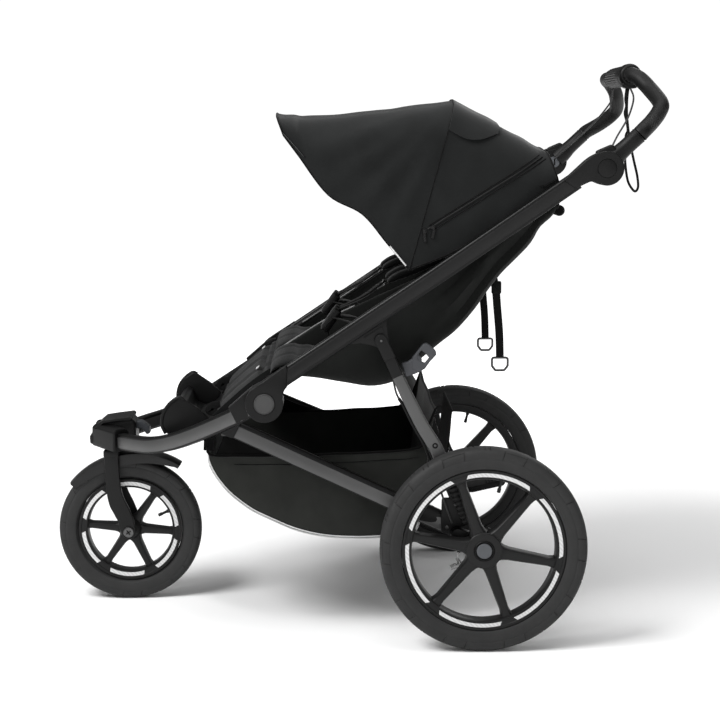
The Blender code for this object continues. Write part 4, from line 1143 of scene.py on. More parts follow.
def bolt(build, x, point, side, radius=0.0042):
    """Domed bolt head sunk in a ring."""
    head = [(x - 0.003, 0), (x - 0.003, radius), (x - 0.0002, radius), (x + 0.0006, radius * 0.8),
            (x + 0.0009, 0)]
    return build.spin(head, (0, *point), (side, 0, 0), 20)


@sided
def legs(side_name, side):
    """Rear legs as flat blades, with a dark cap and bolts at the top."""
    route = curve(LEG_LINE, 5)
    widths = [w for pair in zip(LEG_WIDTHS, LEG_WIDTHS[1:]) for w in
              (pair[0] + (pair[1] - pair[0]) * k / 5 for k in range(5))] + [LEG_WIDTHS[-1]]
    first = 6
    outline = band(route[first:], widths[first:])
    head = band(route[:first + 1], [0.0232] * (first + 1))
    half = len(head) // 2
    head = head[1:half] + head[half:-1] + arc(LEG_TOP, 0.0122, 196, 24, 24)
    if area_sign(head) < 0:
        head.reverse()
    Build().panel(outline, 0.324, 0.34, 0.003, side).done(
        f"rear_leg_{side_name}_blade", TUBE, "rear_legs", "frame_tube", 40, [f"rear_leg_{side_name}"])
    root = Build().panel(band(route[3:first + 4], [0.0215] * (first + 1)),
                         0.3236, 0.356, 0.0015, side)
    root.panel(head, 0.3515, 0.3588, 0.0014, side)
    root.done(f"rear_leg_{side_name}_cap", DARK_CASTING, "rear_legs", "casting", 34)
    bolts, wells = Build(), Build()
    for x, point in ((0.3588, LEG_TOP), (0.34, (0.164, 0.3965))):
        bolt(bolts, x, point, side, 0.0026)
        # painted shade: a dark ring round each bolt head stands in for the shade of the well it sits in
        well = [(x - 0.002, 0.0026), (x - 0.002, 0.0056), (x + 0.0003, 0.0056), (x + 0.0003, 0.0026)]
        wells.spin(well, (0, *point), (side, 0, 0), 24, True)
    bolts.done(f"rear_leg_{side_name}_bolts", BOLT, "rear_legs", "steel_part")
    wells.done(f"rear_leg_{side_name}_wells", DARK, "rear_legs", "casting")


@sided
def leg_brackets(side_name, side):
    """Webbed plate under each rail that carries the top of the leg."""
    outline = [(-0.006, 0.594), (0.069, 0.644), (0.0735, 0.603)]
    outline += arc(LEG_TOP, 0.015, -10, -105, 12) + [(0.04, 0.593), (0.02, 0.5965)]
    inner = rounded([(0.023, 0.606), (0.062, 0.63), (0.064, 0.619), (0.048, 0.603)], 0.003, 3)
    Build().panel(outline[::-1], 0.344, 0.35, 0.0012, side).panel(
        inner, 0.349, 0.3512, 0.0006, side).done(
        f"leg_bracket_{side_name}_plate", DARK_CASTING, "upper_frame", "casting", 34,
        [f"leg_bracket_{side_name}"])


def ray_hit(outline, centre, angle):
    """Farthest point where a ray from the centre meets the outline."""
    way = Vector((math.cos(angle), math.sin(angle)))
    best = 0.0
    for p, q in zip(outline, outline[1:] + outline[:1]):
        a, b = Vector(p) - Vector(centre), Vector(q) - Vector(centre)
        side_a, side_b = way.x * a.y - way.y * a.x, way.x * b.y - way.y * b.x
        if side_a * side_b <= 0 and side_a != side_b:
            spot = a.lerp(b, side_a / (side_a - side_b))
            best = max(best, spot.dot(way))
    return (centre[0] + way.x * best, centre[1] + way.y * best)


def framed(build, outer, window, low, high, edge, side, count=72):
    """Plate with a window through it and rounded edges all round."""
    centre = (sum(p[0] for p in window) / len(window), sum(p[1] for p in window) / len(window))
    angles = [2 * math.pi * k / count for k in range(count)]
    outside = [ray_hit(outer, centre, a) for a in angles]
    inside = [ray_hit(window, centre, a) for a in angles]
    rings = []
    for line, sign, layers in ((outside, 1, soft_layers(low, high, edge)),
                               (inside, -1, soft_layers(low, high, edge)[::-1])):
        for x, inset in layers:
            moved = [Vector(p) + (Vector(centre) - Vector(p)).normalized() * inset * sign for p in line]
            rings.append([(side * x, p.x, p.y) for p in moved])
    return build.rings(rings, close=True)


def fold_hook():
    """Catch on the left leg that holds the frame folded; it hooks over a pin through its window."""
    loop = rounded([(0.12, 0.5672), (0.129, 0.579), (0.14, 0.593), (0.148, 0.5955), (0.1645, 0.58),
                    (0.1655, 0.5725), (0.153, 0.559), (0.144, 0.546), (0.131, 0.538), (0.118, 0.545)],
                   [0.004, 0.01, 0.006, 0.005, 0.006, 0.004, 0.008, 0.008, 0.004, 0.004], 3)
    window = rounded([(0.1365, 0.5814), (0.129, 0.57), (0.1312, 0.563), (0.1433, 0.556),
                      (0.1519, 0.566), (0.1455, 0.574)], 0.002, 3)
    strap = rounded([(0.0985, 0.556), (0.111, 0.559), (0.118, 0.564), (0.13, 0.576), (0.138, 0.564),
                     (0.136, 0.543), (0.129, 0.5372), (0.1204, 0.5339), (0.1083, 0.5295)], 0.003, 3)
    hook = framed(Build(), loop, window, 0.325, 0.3385, 0.0022, 1)
    hook.panel(strap, 0.3258, 0.3372, 0.002)
    hook.done("fold_catch_hook", HOOK, "rear_legs", "casting", 34, ["fold_catch"])


@sided
def knuckles(side_name, side):
    """Castings where the legs, cross tube and swing arms meet."""
    plate = rounded([(0.179, 0.289), (0.206, 0.289), (0.236, 0.27), (0.244, 0.25), (0.233, 0.236),
                     (0.218, 0.23), (0.2, 0.213), (0.178, 0.22)], 0.006, 3)
    build = Build().panel(plate, 0.314, 0.319, 0.0012, side)
    socket = band([(0.19, 0.33), (0.201, 0.306), (0.206, 0.29)], [0.029, 0.027, 0.024])
    build.panel(rounded(socket, 0.003, 3), 0.315, 0.323, 0.0015, side)
    collar = [(-0.005, 0), (-0.005, 0.0142), (-0.0035, 0.0152), (0.002, 0.0152), (0.0035, 0.0138),
              (0.0035, 0)]
    build.spin(collar, (side * 0.332, 0.1965, 0.32), (0, 0.3, -0.95), 32)
    build.done(f"knuckle_{side_name}_casting", DARK_CASTING, "rear_legs", "casting", 34,
               [f"knuckle_{side_name}"])
    bolts = Build()
    for point in ((0.206, 0.276), (0.19, 0.23)):
        bolt(bolts, 0.3196, point, side, 0.0036)
    bolts.done(f"knuckle_{side_name}_bolts", DARK_STEEL, "rear_legs", "steel_part")


def cross_tube():
    """Tube between the two knuckle castings, with a collar at each end."""
    tube = Build().rod((-0.3136, 0.229, 0.254), (0.3136, 0.229, 0.254), 0.011, 40, 0.001)
    tube.done("rear_cross_bar", TUBE, "rear_legs", "frame_tube", 34, ["rear_cross_tube"])
    collars = Build()
    for _, side in SIDES:
        collars.spin([(0.288, 0.01), (0.288, 0.0132), (0.29, 0.014), (0.313, 0.014), (0.313, 0.01)],
                     (0, 0.229, 0.254), (side, 0, 0), 36, True)
    collars.done("rear_cross_collars", DARK_CASTING, "rear_legs", "casting", 34)


BELLOWS_FOLD = ((0.1, 0.0092), (0.3, 0.0116), (0.52, 0.0122), (0.74, 0.0116), (0.92, 0.0092))


@sided
def suspension(side_name, side):
    """Ribbed rubber bellows over each spring."""
    top, low = Vector((0.0, 0.199, 0.317)), Vector((0.0, 0.229, 0.243))
    folds = 8
    centre = top + Vector((side * 0.332, 0, 0))
    run = low - top
    profile = [(0.0, 0.0), (0.0, 0.0095)]
    for k in range(folds):
        for part, radius in BELLOWS_FOLD:
            profile.append(((k + part) / folds * run.length, radius * (1 - 0.02 * k)))
    profile += [(run.length, 0.009), (run.length, 0.0)]
    bellows = Build().spin(profile, centre, run, 36).done(
        f"suspension_bellows_{side_name}", RUBBER, "rear_legs", "soft_rubber", 50,
        [f"suspension_spring_{side_name}"])
    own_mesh(bellows)


@sided
def swing_arms(side_name, side):
    """Trailing arm from the knuckle to the wheel stub, with the brake shoe lever beside it."""
    way = (Vector(REAR_AXLE) - Vector(SWING)).normalized()
    facing = math.degrees(math.atan2(way.y, way.x))
    outline = arc(SWING, 0.013, facing + 90, facing + 270, 16)
    outline += arc(REAR_AXLE, 0.017, facing - 90, facing + 90, 16)
    body = f"swing_{side_name}"
    arm = Build().panel(outline, 0.3236, 0.339, 0.0016, side)
    arm.spin([(0.33, 0), (0.33, 0.014), (0.3455, 0.014), (0.3465, 0.013), (0.3465, 0)],
             (0, *REAR_AXLE), (side, 0, 0), 36)
    arm.rod((side * 0.34, *REAR_AXLE), (side * 0.3785, *REAR_AXLE), 0.0074, 24)
    arm.done(f"swing_arm_{side_name}_casting", DARK_CASTING, body, "casting", 34,
             [f"swing_arm_{side_name}"])
    pads = Build()
    for start, end in ((25, 70), (95, 150)):
        ring = arc(REAR_AXLE, 0.036, start, end, 10) + arc(REAR_AXLE, 0.03, end, start, 10)
        pads.panel(ring[::-1], 0.335, 0.341, 0.0008, side)
    pads.done(f"brake_shoes_{side_name}", CASTING, body, "casting", 34)


@sided
def lower_tubes(side_name, side):
    """Lower side tubes that carry the basket, with a casting at each end."""
    route = curve(LOWER_ROUTE, 8)
    sections = bar_sections(0.009, 0.0175, 0.008, 0.0016)
    path = mirrored(route, side)
    trimmed_bar(f"lower_tube_{side_name}_extrusion", f"lower_tube_{side_name}", path, sections, TUBE,
                "lower_frame")
    ends = Build()
    front = band([(-0.258, 0.426), (-0.238, 0.4215), (-0.22, 0.4125)], [0.034, 0.0372, 0.0368])
    ends.panel(rounded(front, 0.006, 3), 0.244, 0.266, 0.0018, side)
    ends.done(f"lower_tube_{side_name}_front_end", DARK_CASTING, "lower_frame", "casting", 34)
    heel = Build()
    section = [(0.0104 * c, 0.0205 * s) for c, s in circle(1.0, 24)]
    line = [Vector((side * 0.2985, 0.1, 0.272)), Vector((side * 0.2992, 0.112, 0.268)),
            Vector((side * 0.3, 0.156, 0.25)), Vector((side * 0.3005, 0.158, 0.2492)),
            Vector((side * 0.3012, 0.202, 0.23)), Vector((side * 0.3014, 0.208, 0.2275))]
    heel.sweep(line, section, (0, 0, 1), [0.66, 0.95, 1.0, 0.97, 0.92, 0.7])
    heel.done(f"lower_tube_{side_name}_heel", CASTING, "lower_frame", "casting", 40)
    bolts = bolt(Build(), 0.3116, LOWER_REAR, side, 0.004)
    bolts.done(f"lower_tube_{side_name}_bolt", DARK_STEEL, "lower_frame", "steel_part")


def brake_pedal():
    """Foot pedal of the parking brake, with ribs under the toe."""
    outline = rounded([(0.244, 0.27), (0.256, 0.272), (0.315, 0.286), (0.323, 0.28), (0.318, 0.274),
                       (0.256, 0.26), (0.246, 0.26)], 0.002, 3)
    Build().panel(outline, 0.07, 0.15, 0.002).done(
        "parking_brake_lever", DARK_CASTING, "brake_pedal", "button_plastic", 34, ["parking_brake_pedal"])
    ribs = Build()
    for i in range(5):
        spot = Vector((0.11, 0.284 + 0.006 * i, 0.28 + 0.00145 * i))
        ribs.block(spot, (0.066, 0.0016, 0.002), 0.0004)
    ribs.done("parking_brake_ribs", RUBBER, "brake_pedal", "button_plastic")


ADJUSTER_RODS = (((0.212, 0.176), (0.213, 0.163), 0.0014), ((0.1985, 0.145), (0.211, 0.15), 0.0052),
                 ((0.211, 0.15), (0.223, 0.1555), 0.003), ((0.211, 0.164), (0.219, 0.15), 0.0036))


@sided
def brake_lines(side_name, side):
    """Cable down the front edge of each leg to the drum, with its silver adjuster."""
    upper = [(0.0835, 0.5214), (0.0905, 0.4946), (0.1035, 0.472), (0.122, 0.4341), (0.142, 0.399),
             (0.1504, 0.38), (0.161, 0.352), (0.172, 0.318), (0.183, 0.285), (0.199, 0.24)]
    line = curve([(side * (0.33 - 0.006 * min(1, i / 6)), y, z) for i, (y, z) in enumerate(upper)], 6)
    Build().tube(line, 0.002, 10, (1, 0, 0)).done(
        f"brake_line_{side_name}", CABLE, "rear_legs", "cable_sheath", 50)
    Build().tube(line[8:46], 0.0031, 10, (1, 0, 0)).done(
        f"brake_line_sleeve_{side_name}", DARK, "rear_legs", "cable_sheath", 50)
    fitting = Build()
    for start, end, radius in ADJUSTER_RODS:
        fitting.rod((side * 0.305, *start), (side * 0.305, *end), radius, 16, 0.0004)
    fitting.done(f"brake_adjuster_{side_name}", STEEL, f"swing_{side_name}", "steel_part")
    arm = band([(0.213, 0.177), (0.223, 0.193), (0.242, 0.201)], [0.008, 0.01, 0.013])
    Build().panel(rounded(arm, 0.002, 2), 0.303, 0.308, 0.001, side).panel(
        arc(REAR_AXLE, 0.026, 0, 345, 24), 0.308, 0.3215, 0.002, side).done(
        f"brake_lever_{side_name}", DARK_CASTING, f"swing_{side_name}", "casting", 34)


# ---- handlebar ----------------------------------------------------------------------------
GRIP_HALF = [(0.329, 0.545, 0.988), (0.325, 0.553, 0.9955), (0.288, 0.576, 1.012),
             (0.255, 0.596, 1.031), (0.234, 0.6035, 1.048), (0.185, 0.592, 1.076),
             (0.162, 0.577, 1.096), (0.142, 0.565, 1.105), (0.12, 0.564, 1.1055),
             (0.045, 0.564, 1.1055)]
HOUSING = (0.564, 1.1055)


def grip():
    """Bent bar under one stitched leather-like sleeve, with a seam line under it."""
    points = GRIP_HALF + [(-x, y, z) for x, y, z in GRIP_HALF[::-1]]
    route = curve(points, 8)
    radius = 0.0155
    bead = [1.0] * len(route)
    for i in (0, len(route) - 1):
        bead[i] = 0.93
    Build().tube(route, radius, 28, (0, 0, 1), bead).done(
        "handlebar_grip_cover", GRIP, "handlebar", "grip_cover", 60, ["handlebar_grip"])
    seam = []
    for i, point in enumerate(route[1:-1], 1):
        run = (route[i + 1] - route[i - 1]).normalized()
        across = run.cross(Vector((0, 0, 1))).normalized()
        seam.append(point - across.cross(run) * radius)
    stitch = Build()
    spaced = respaced(seam, 170)
    for a, b in zip(spaced[::2], spaced[1::2]):
        stitch.tube([a, b], 0.0005, 6, (0, 1, 0))
    stitch.done("handlebar_grip_stitching", SEAT, "handlebar", "grip_cover")


@sided
def handle_arms(side_name, side):
    """Hinge cheeks inside the tilt joints, running into round ferrules that hold the grip."""
    start = Vector(HANDLE) + Vector((0.006, 0.006))
    end = Vector(GRIP_HALF[0][1:]) - Vector((0.0005, 0.0005))
    arm = Build()
    cheek = arc(HANDLE, 0.029, 0, 355, 60)
    arm.panel(cheek, 0.32, 0.3435, 0.0016, side)
    low, high = Vector((side * 0.3262, *start)), Vector((side * 0.3288, *end))
    run = high - low
    stations = [low.lerp(high, s) for s in (0.0, 0.22, 0.34, 0.44, 0.54, 0.64, 0.97, 1.0)]
    arm.tube(stations, 0.016, 32, (0, 0, 1), [1.22, 1.2, 1.12, 1.03, 0.99, 0.98, 0.98, 0.92])
    web = band([(HANDLE[0] + 0.002, HANDLE[1] + 0.009), (HANDLE[0] + 0.026, HANDLE[1] + 0.033)],
               [0.06, 0.033])
    arm.panel(rounded(web, 0.006, 4), 0.321, 0.341, 0.004, side)
    arm.done(f"handle_arm_{side_name}_casting", DARK_CASTING, "handlebar", "casting", 40,
             [f"handle_arm_{side_name}"])
    spot = low.lerp(high, 0.97)
    ring = Build().tube([spot, spot + run * 0.02], 0.0164, 32, (0, 0, 1), [1.0, 0.97])
    ring.done(f"handle_arm_{side_name}_ring", DARK, "handlebar", "casting", 40)
    screw = bolt(Build(), -0.3172, (HANDLE[0] + 0.034, HANDLE[1] + 0.04), side, 0.003)
    screw.done(f"handle_arm_{side_name}_screw", DARK_STEEL, "handlebar", "steel_part")
    button = [(-0.321, 0), (-0.321, 0.0122), (-0.3182, 0.0124), (-0.3172, 0.0116), (-0.3168, 0.009),
              (-0.3168, 0)]
    Build().spin(button, (0, *HANDLE), (-side, 0, 0), 40).done(
        f"tilt_button_{side_name}_pad", BUTTON, f"tilt_button_{side_name}", "button_plastic", 34,
        [f"tilt_button_{side_name}"])
    # painted shade: a thin dark bar on the button face stands in for the shade in its slot
    slot = Build().block((side * 0.3166, *HANDLE), (0.0008, 0.003, 0.015), 0.0005)
    slot.done(f"tilt_button_{side_name}_slot", DARK, f"tilt_button_{side_name}", "button_plastic")


def ribbed_ring(stations, ribs, depth, bore):
    """A tube about the bar whose outside carries ribs along the bar; a station is (x, radius, rib share)."""
    sides = ribs * 6
    rings = []
    for x, radius, share in stations:
        ring = []
        for k in range(sides):
            angle = 2 * math.pi * k / sides
            wave = max(0.0, math.cos(angle * ribs)) ** 0.6
            r = radius - depth * share * (1 - wave)
            ring.append((x, HOUSING[0] + r * math.cos(angle), HOUSING[1] + r * math.sin(angle)))
        rings.append(ring)
    for x in (stations[-1][0], stations[0][0]):
        rings.append([(x, HOUSING[0] + bore * c, HOUSING[1] + bore * s) for c, s in circle(1.0, sides)])
    return Build().rings(rings, close=True)


def twist_brake():
    """Housing clamped round the bar, the ribbed ring that is twisted to brake, and its far collar."""
    bore = 0.0158
    sleeve = [(0.099, bore), (0.099, 0.0212), (0.1005, 0.0222), (0.106, 0.0225), (0.124, 0.0225),
              (0.129, 0.0212), (0.1315, 0.0182), (0.132, bore)]
    housing = Build().spin(sleeve, (0, *HOUSING), (1, 0, 0), 56, True)
    belly = rounded([(-0.015, -0.014), (0.015, -0.014), (0.0165, -0.02), (0.012, -0.026),
                     (-0.008, -0.026), (-0.0165, -0.0215)], 0.005, 3)
    housing.panel(polar(HOUSING, belly), 0.101, 0.129, 0.003)
    collar = [(-0.074, bore), (-0.0735, 0.0178), (-0.0715, 0.0192), (-0.064, 0.0196), (-0.0625, 0.019),
              (-0.062, bore)]
    housing.spin(collar, (0, *HOUSING), (1, 0, 0), 48, True)
    housing.done("twist_brake_housing_shell", DARK, "handlebar", "moulded_plastic", 36,
                 ["twist_brake_housing"])
    beads = Build()
    for x, radius in ((0.104, 0.0226), (0.12, 0.0226)):
        bead = [(x - 0.0008, radius - 0.002), (x - 0.0005, radius + 0.0004),
                (x + 0.0005, radius + 0.0004), (x + 0.0008, radius - 0.002)]
        beads.spin(bead, (0, *HOUSING), (1, 0, 0), 56, True)
    beads.done("twist_brake_seams", CASTING, "handlebar", "moulded_plastic", 36)
    stations = [(-0.0595, 0.0178, 0.0), (-0.0588, 0.019, 0.0), (-0.056, 0.0198, 0.0), (-0.0545, 0.0204, 0.4),
                (-0.051, 0.0208, 1.0), (0.06, 0.021, 1.0), (0.064, 0.0208, 0.4), (0.066, 0.0206, 0.0),
                (0.094, 0.0206, 0.0), (0.0965, 0.02, 0.0), (0.0975, 0.019, 0.0)]
    ribbed_ring(stations, 28, 0.0013, bore).done(
        "twist_brake_ring_grip", DARK, "twist_brake", "moulded_plastic", 45, ["twist_brake_ring"])


def brake_cables():
    """The two cables that sag from the twist brake to the handle joints."""
    for side_name, route in BRAKE_CABLES.items():
        path = curve(route, 8)
        Build().tube(path, 0.0019, 12, (0, 1, 0)).done(
            f"brake_cable_{side_name}_sheath", CABLE, "handlebar", "cable_sheath", 60,
            [f"brake_cable_{side_name}"])


def footrest():
    """Dished tread plate in front of the seats, with a ribbed floor and side cheeks."""
    outline = rounded([(-0.365, 0.423), (-0.352, 0.433), (-0.342, 0.427), (-0.335, 0.402), (-0.315, 0.3925),
                       (-0.295, 0.3985), (-0.275, 0.418), (-0.27, 0.412), (-0.29, 0.388),
                       (-0.314, 0.38), (-0.342, 0.387), (-0.356, 0.4)],
                      [0.004, 0.004, 0.004, 0.012, 0.012, 0.012, 0.002, 0.002, 0.01, 0.01, 0.01, 0.01])
    tray = Build().panel(outline, -0.164, 0.164, 0.0025)
    cheek = rounded([(-0.378, 0.408), (-0.374, 0.431), (-0.362, 0.45), (-0.343, 0.464), (-0.331, 0.46),
                     (-0.302, 0.44), (-0.279, 0.417), (-0.293, 0.393), (-0.33, 0.383), (-0.368, 0.388)],
                    [0.012, 0.012, 0.012, 0.005, 0.004, 0.01, 0.006, 0.01, 0.012, 0.012])
    for _, side in SIDES:
        tray.panel(cheek, 0.1636, 0.171, 0.003, side)
    rims = Build()
    lip = curve([(-0.37, 0.39), (-0.3775, 0.408), (-0.3738, 0.431), (-0.362, 0.4495), (-0.344, 0.463),
                 (-0.333, 0.459)], 5)
    for _, side in SIDES:
        rims.tube(at_x(side * 0.169, lip), 0.0038, 12, (1, 0, 0))
    rims.done("footrest_rims", CASTING, "front_frame", "moulded_plastic", 50)
    tray.done("footrest_tray", DARK, "front_frame", "moulded_plastic", 36, ["footrest"])
    ribs = Build()
    for x in range(-7, 8):
        ribs.block((x * 0.02, -0.316, 0.393), (0.004, 0.03, 0.002), 0.0006)
    ribs.done("footrest_ribs", RUBBER, "front_frame", "moulded_plastic")


# ---- soft goods -----------------------------------------------------------------------
CANOPY_LOW, CANOPY_HIGH = 0.006, 0.33
FLAP_STATIONS, FLAP_COLUMNS = 11, 28
CUSHION_STEPS, CUSHION_COLUMNS = 34, 30
RIDGE_STEPS = 26
APEX = Vector((0.202, 1.042))
VISOR_BOWS = [((-0.123, 0.986), (-0.139, 1.029)), ((-0.096, 0.95), (-0.108, 1.0268)),
              ((-0.04, 0.876), (-0.07, 1.025)),
              ((0.024, 0.84), (0.03, 1.033)), ((0.07, 0.786), (0.12, 1.0437)),
              ((0.113, 0.734), (0.2, 1.0545))]
HOOD_BOWS = [((0.114, 0.7345), (0.2015, 1.0545)), ((0.205, 0.772), (0.27, 1.019)),
             ((0.305, 0.835), (0.335, 0.985)), ((0.395, 0.895), (0.374, 0.962))]
TUB_BOTTOM = [(-0.16, 0.508), (-0.108, 0.525), (-0.0183, 0.5108), (0.0397, 0.502), (0.0843, 0.5085),
              (0.104, 0.524), (0.166, 0.5784), (0.2065, 0.6098), (0.24, 0.648), (0.2841, 0.709),
              (0.3214, 0.7495), (0.3507, 0.7818), (0.366, 0.811), (0.3889, 0.8323), (0.398, 0.848)]
TUB_TOP = [(-0.16, 0.523), (-0.108, 0.55), (0.162, 0.723), (0.4, 0.883)]
BASKET_BOTTOM = [(-0.278, 0.374), (-0.277, 0.338), (-0.25, 0.2936), (-0.22, 0.265), (-0.1762, 0.2368),
                 (-0.0977, 0.203), (-0.02, 0.19), (0.0702, 0.19), (0.13, 0.198), (0.148, 0.26),
                 (0.158, 0.36), (0.17, 0.45)]
BASKET_RIM = [(-0.279, 0.377), (-0.27, 0.361), (-0.168, 0.359), (-0.056, 0.3607), (0.125, 0.371),
              (0.148, 0.395), (0.17, 0.452)]


def normals(rows):
    """Unit normals of a grid of points."""
    found = []
    for i, row in enumerate(rows):
        line = []
        for j in range(len(row)):
            down = rows[min(i + 1, len(rows) - 1)][j] - rows[max(i - 1, 0)][j]
            right = row[min(j + 1, len(row) - 1)] - row[max(j - 1, 0)]
            line.append(down.cross(right).normalized())
        found.append(line)
    return found


def lifted(rows, distance):
    """A grid of points moved along its normals."""
    return [[p + n * distance for p, n in zip(row, line)] for row, line in zip(rows, normals(rows))]


def skin(build, rows, thickness):
    """Cloth: a grid of points and a copy of it moved back along its normals, closed at the edges."""
    back = lifted(rows, -thickness)
    height, width = len(rows), len(rows[0])
    faces = grid_faces(height, width) + grid_faces(height, width, start=height * width)
    edge = [(0, j) for j in range(width)] + [(i, width - 1) for i in range(1, height)]
    edge += [(height - 1, j) for j in range(width - 2, -1, -1)]
    edge += [(i, 0) for i in range(height - 2, 0, -1)]
    for (a, b), (c, d) in zip(edge, edge[1:] + edge[:1]):
        first, second = a * width + b, c * width + d
        faces.append((first, second, second + height * width, first + height * width))
    return build.add([p for row in rows + back for p in row], faces)


def declare_sheet(rows):
    """Work out the length and width a cloth grid would have cut flat; nothing is done with them."""
    length = max(length_of([row[j] for row in rows]) for j in range(len(rows[0])))
    width = max(length_of(row) for row in rows)


def crumple(point, size, depth):
    return depth * noise.noise(Vector(point) / size)


def canopy_section(height):
    """Canopy bow from one side to the other, as (x, height): sides, rounded shoulders, crowned top."""
    half, crown = (CANOPY_HIGH - CANOPY_LOW) / 2, 0.006
    corner = min(0.075, 0.8 * height)
    half_section = [(half, (height - corner) * k / 9) for k in range(9)]
    half_section += arc((half - corner, height - corner - crown), corner, 0, 90, 9)
    flat = half - corner
    half_section += [(flat * (1 - k / 7), height - crown * (1 - k / 7) ** 2) for k in range(1, 8)]
    return half_section + [(-x, z) for x, z in half_section[-2::-1]]


def fold_height(y, z):
    """Soft creases that spread from just under the apex, down towards the front."""
    height = 0.0
    offset = Vector((y, z)) - APEX
    for angle, depth in ((18, 0.008), (31, 0.007), (46, 0.0085), (62, 0.005)):
        run = Vector((-math.cos(math.radians(angle)), -math.sin(math.radians(angle))))
        reach, aside = offset.dot(run), offset.x * run.y - offset.y * run.x
        fade = smooth(reach, 0.02, 0.1) * (1 - smooth(reach, 0.17, 0.3))
        height += depth * fade * math.exp(-(aside / 0.015) ** 2)
    return height


def canopy_rows(bows, side, steps):
    """Stations along a canopy part, each a bow of points, with folds pushed outwards."""
    bases = curve([base for base, _ in bows], steps)
    crowns = curve([crown for _, crown in bows], steps)
    centre = side * (CANOPY_LOW + CANOPY_HIGH) / 2
    rows = []
    for i, (base, crown) in enumerate(zip(bases, crowns)):
        slack = math.sin(math.pi * (i % steps) / steps) ** 2
        height = crown.y - base.y
        row = []
        for x, z in canopy_section(height):
            share = z / height
            y = base.x + (crown.x - base.x) * share
            wave = fold_height(y, base.y + z) + crumple((x, y, z), 0.055, 0.0016) - 0.0008 * slack * share
            out = Vector((x * (1 - 0.5 * share), 0, 0.16 * share ** 3)).normalized()
            bulge = 0.0035 * math.sin(math.pi * min(1.0, share)) * (1 if x > 0 else -1)
            row.append(Vector((centre + side * (x + bulge), y, base.y + z))
                       + Vector((side * out.x, 0, out.z)) * wave)
        rows.append(row)
    return rows


def landing(rows, side):
    """A function that finds where a side view point meets the outside of a cloth grid."""
    points = [p for row in rows for p in row]
    tree = BVHTree.FromPolygons(points, grid_faces(len(rows), len(rows[0])))

    def land(point, lift=0.0):
        hit = tree.ray_cast(Vector((side * 0.6, *point)), Vector((-side, 0, 0)))[0]
        return (hit or Vector((side * CANOPY_HIGH, *point))) + Vector((side * lift, 0, 0))
    return land


def above(row, height):
    """The part of a bow of points that is higher than that."""
    kept = [i for i, p in enumerate(row) if p.z > height]
    ends = []
    for inside, outside in ((kept[0], kept[0] - 1), (kept[-1], kept[-1] + 1)):
        a, b = row[inside], row[outside]
        ends.append(a.lerp(b, (a.z - height) / (a.z - b.z)))
    return [ends[0], *row[kept[0]:kept[-1] + 1], ends[1]]


def ridge(build, land, start, end, radius, lift=0.0004):
    """A raised seam laid on cloth between two side view points."""
    start, end = Vector(start), Vector(end)
    path = [land(start.lerp(end, i / RIDGE_STEPS), lift) for i in range(RIDGE_STEPS + 1)]
    return build.tube(path, radius, 8, (1, 0, 0))


def visor(side_name, side):
    """Front part of a canopy, with its bound edges and pale piping."""
    rows = canopy_rows(VISOR_BOWS, side, 7)
    shell = skin(Build(), rows, 0.003 * side).done(
        f"visor_cloth_{side_name}", CANOPY, None, "canopy_fabric", 50, [f"canopy_visor_{side_name}"])
    edges = Build().tube(rows[0], 0.0018, 10, (0, 1, 0))
    for column in (0, -1):
        edges.tube([row[column] for row in rows], 0.0016, 8, (1, 0, 0))
    edges = edges.done(f"visor_binding_{side_name}", LINING, None, "canopy_fabric", 60)
    low_edge = [row[0 if rows[0][0].x * side > 0.2 else -1] for row in rows]
    pale = [p + Vector((side * 0.0026, 0, 0.0008)) for p in low_edge if 0.072 < p.y < 0.108]
    piping = Build().tube(pale, 0.0015, 8, (1, 0, 0)).done(
        f"visor_piping_{side_name}", PIPING, None, "canopy_fabric", 60)
    declare_sheet(rows)
    for piece in (shell, edges, piping):
        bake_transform(piece)


def hood(side_name, side):
    """Fixed rear part of a canopy with its seams, zip and pulls: returns the cloth and its grid."""
    rows = canopy_rows(HOOD_BOWS, side, 8)
    shell = skin(Build(), rows, 0.003 * side).done(
        f"hood_cloth_{side_name}", CANOPY, "upper_frame", "canopy_fabric", 50,
        [f"canopy_hood_{side_name}"])
    trim = Build().tube(rows[0], 0.0011, 8, (0, 1, 0)).tube(rows[-1], 0.002, 8, (0, 1, 0))
    for column in (0, -1):
        trim.tube([row[column] for row in rows], 0.0018, 8, (1, 0, 0))
    land = landing(rows, side)
    ridge(trim, land, (0.15, 0.818), (0.36, 0.95), 0.0012)
    ridge(trim, land, (0.156, 0.808), (0.372, 0.943), 0.0012)
    trim = trim.done(f"hood_seams_{side_name}", LINING, "upper_frame", "canopy_fabric", 60)
    coil = ridge(Build(), land, (0.148, 0.811), (0.366, 0.9465), 0.002, 0.0)
    coil = coil.done(f"hood_zip_{side_name}", DARK, "upper_frame", "moulded_plastic", 60)
    pulls = Build()
    for y, z, lean in ((0.142, 0.796, 6), (0.158, 0.803, -14)):
        turn = Matrix.Rotation(math.radians(lean), 3, "X")
        pulls.block(land((y, z + 0.012), 0.0016), (0.004, 0.008, 0.009), 0.0025, turn)
        pulls.block(land((y, z), 0.0022), (0.0024, 0.0062, 0.019), 0.0022, turn)
    pulls = pulls.done(f"hood_pulls_{side_name}", RIM, "upper_frame", "steel_part")
    declare_sheet(rows)
    return shell, rows


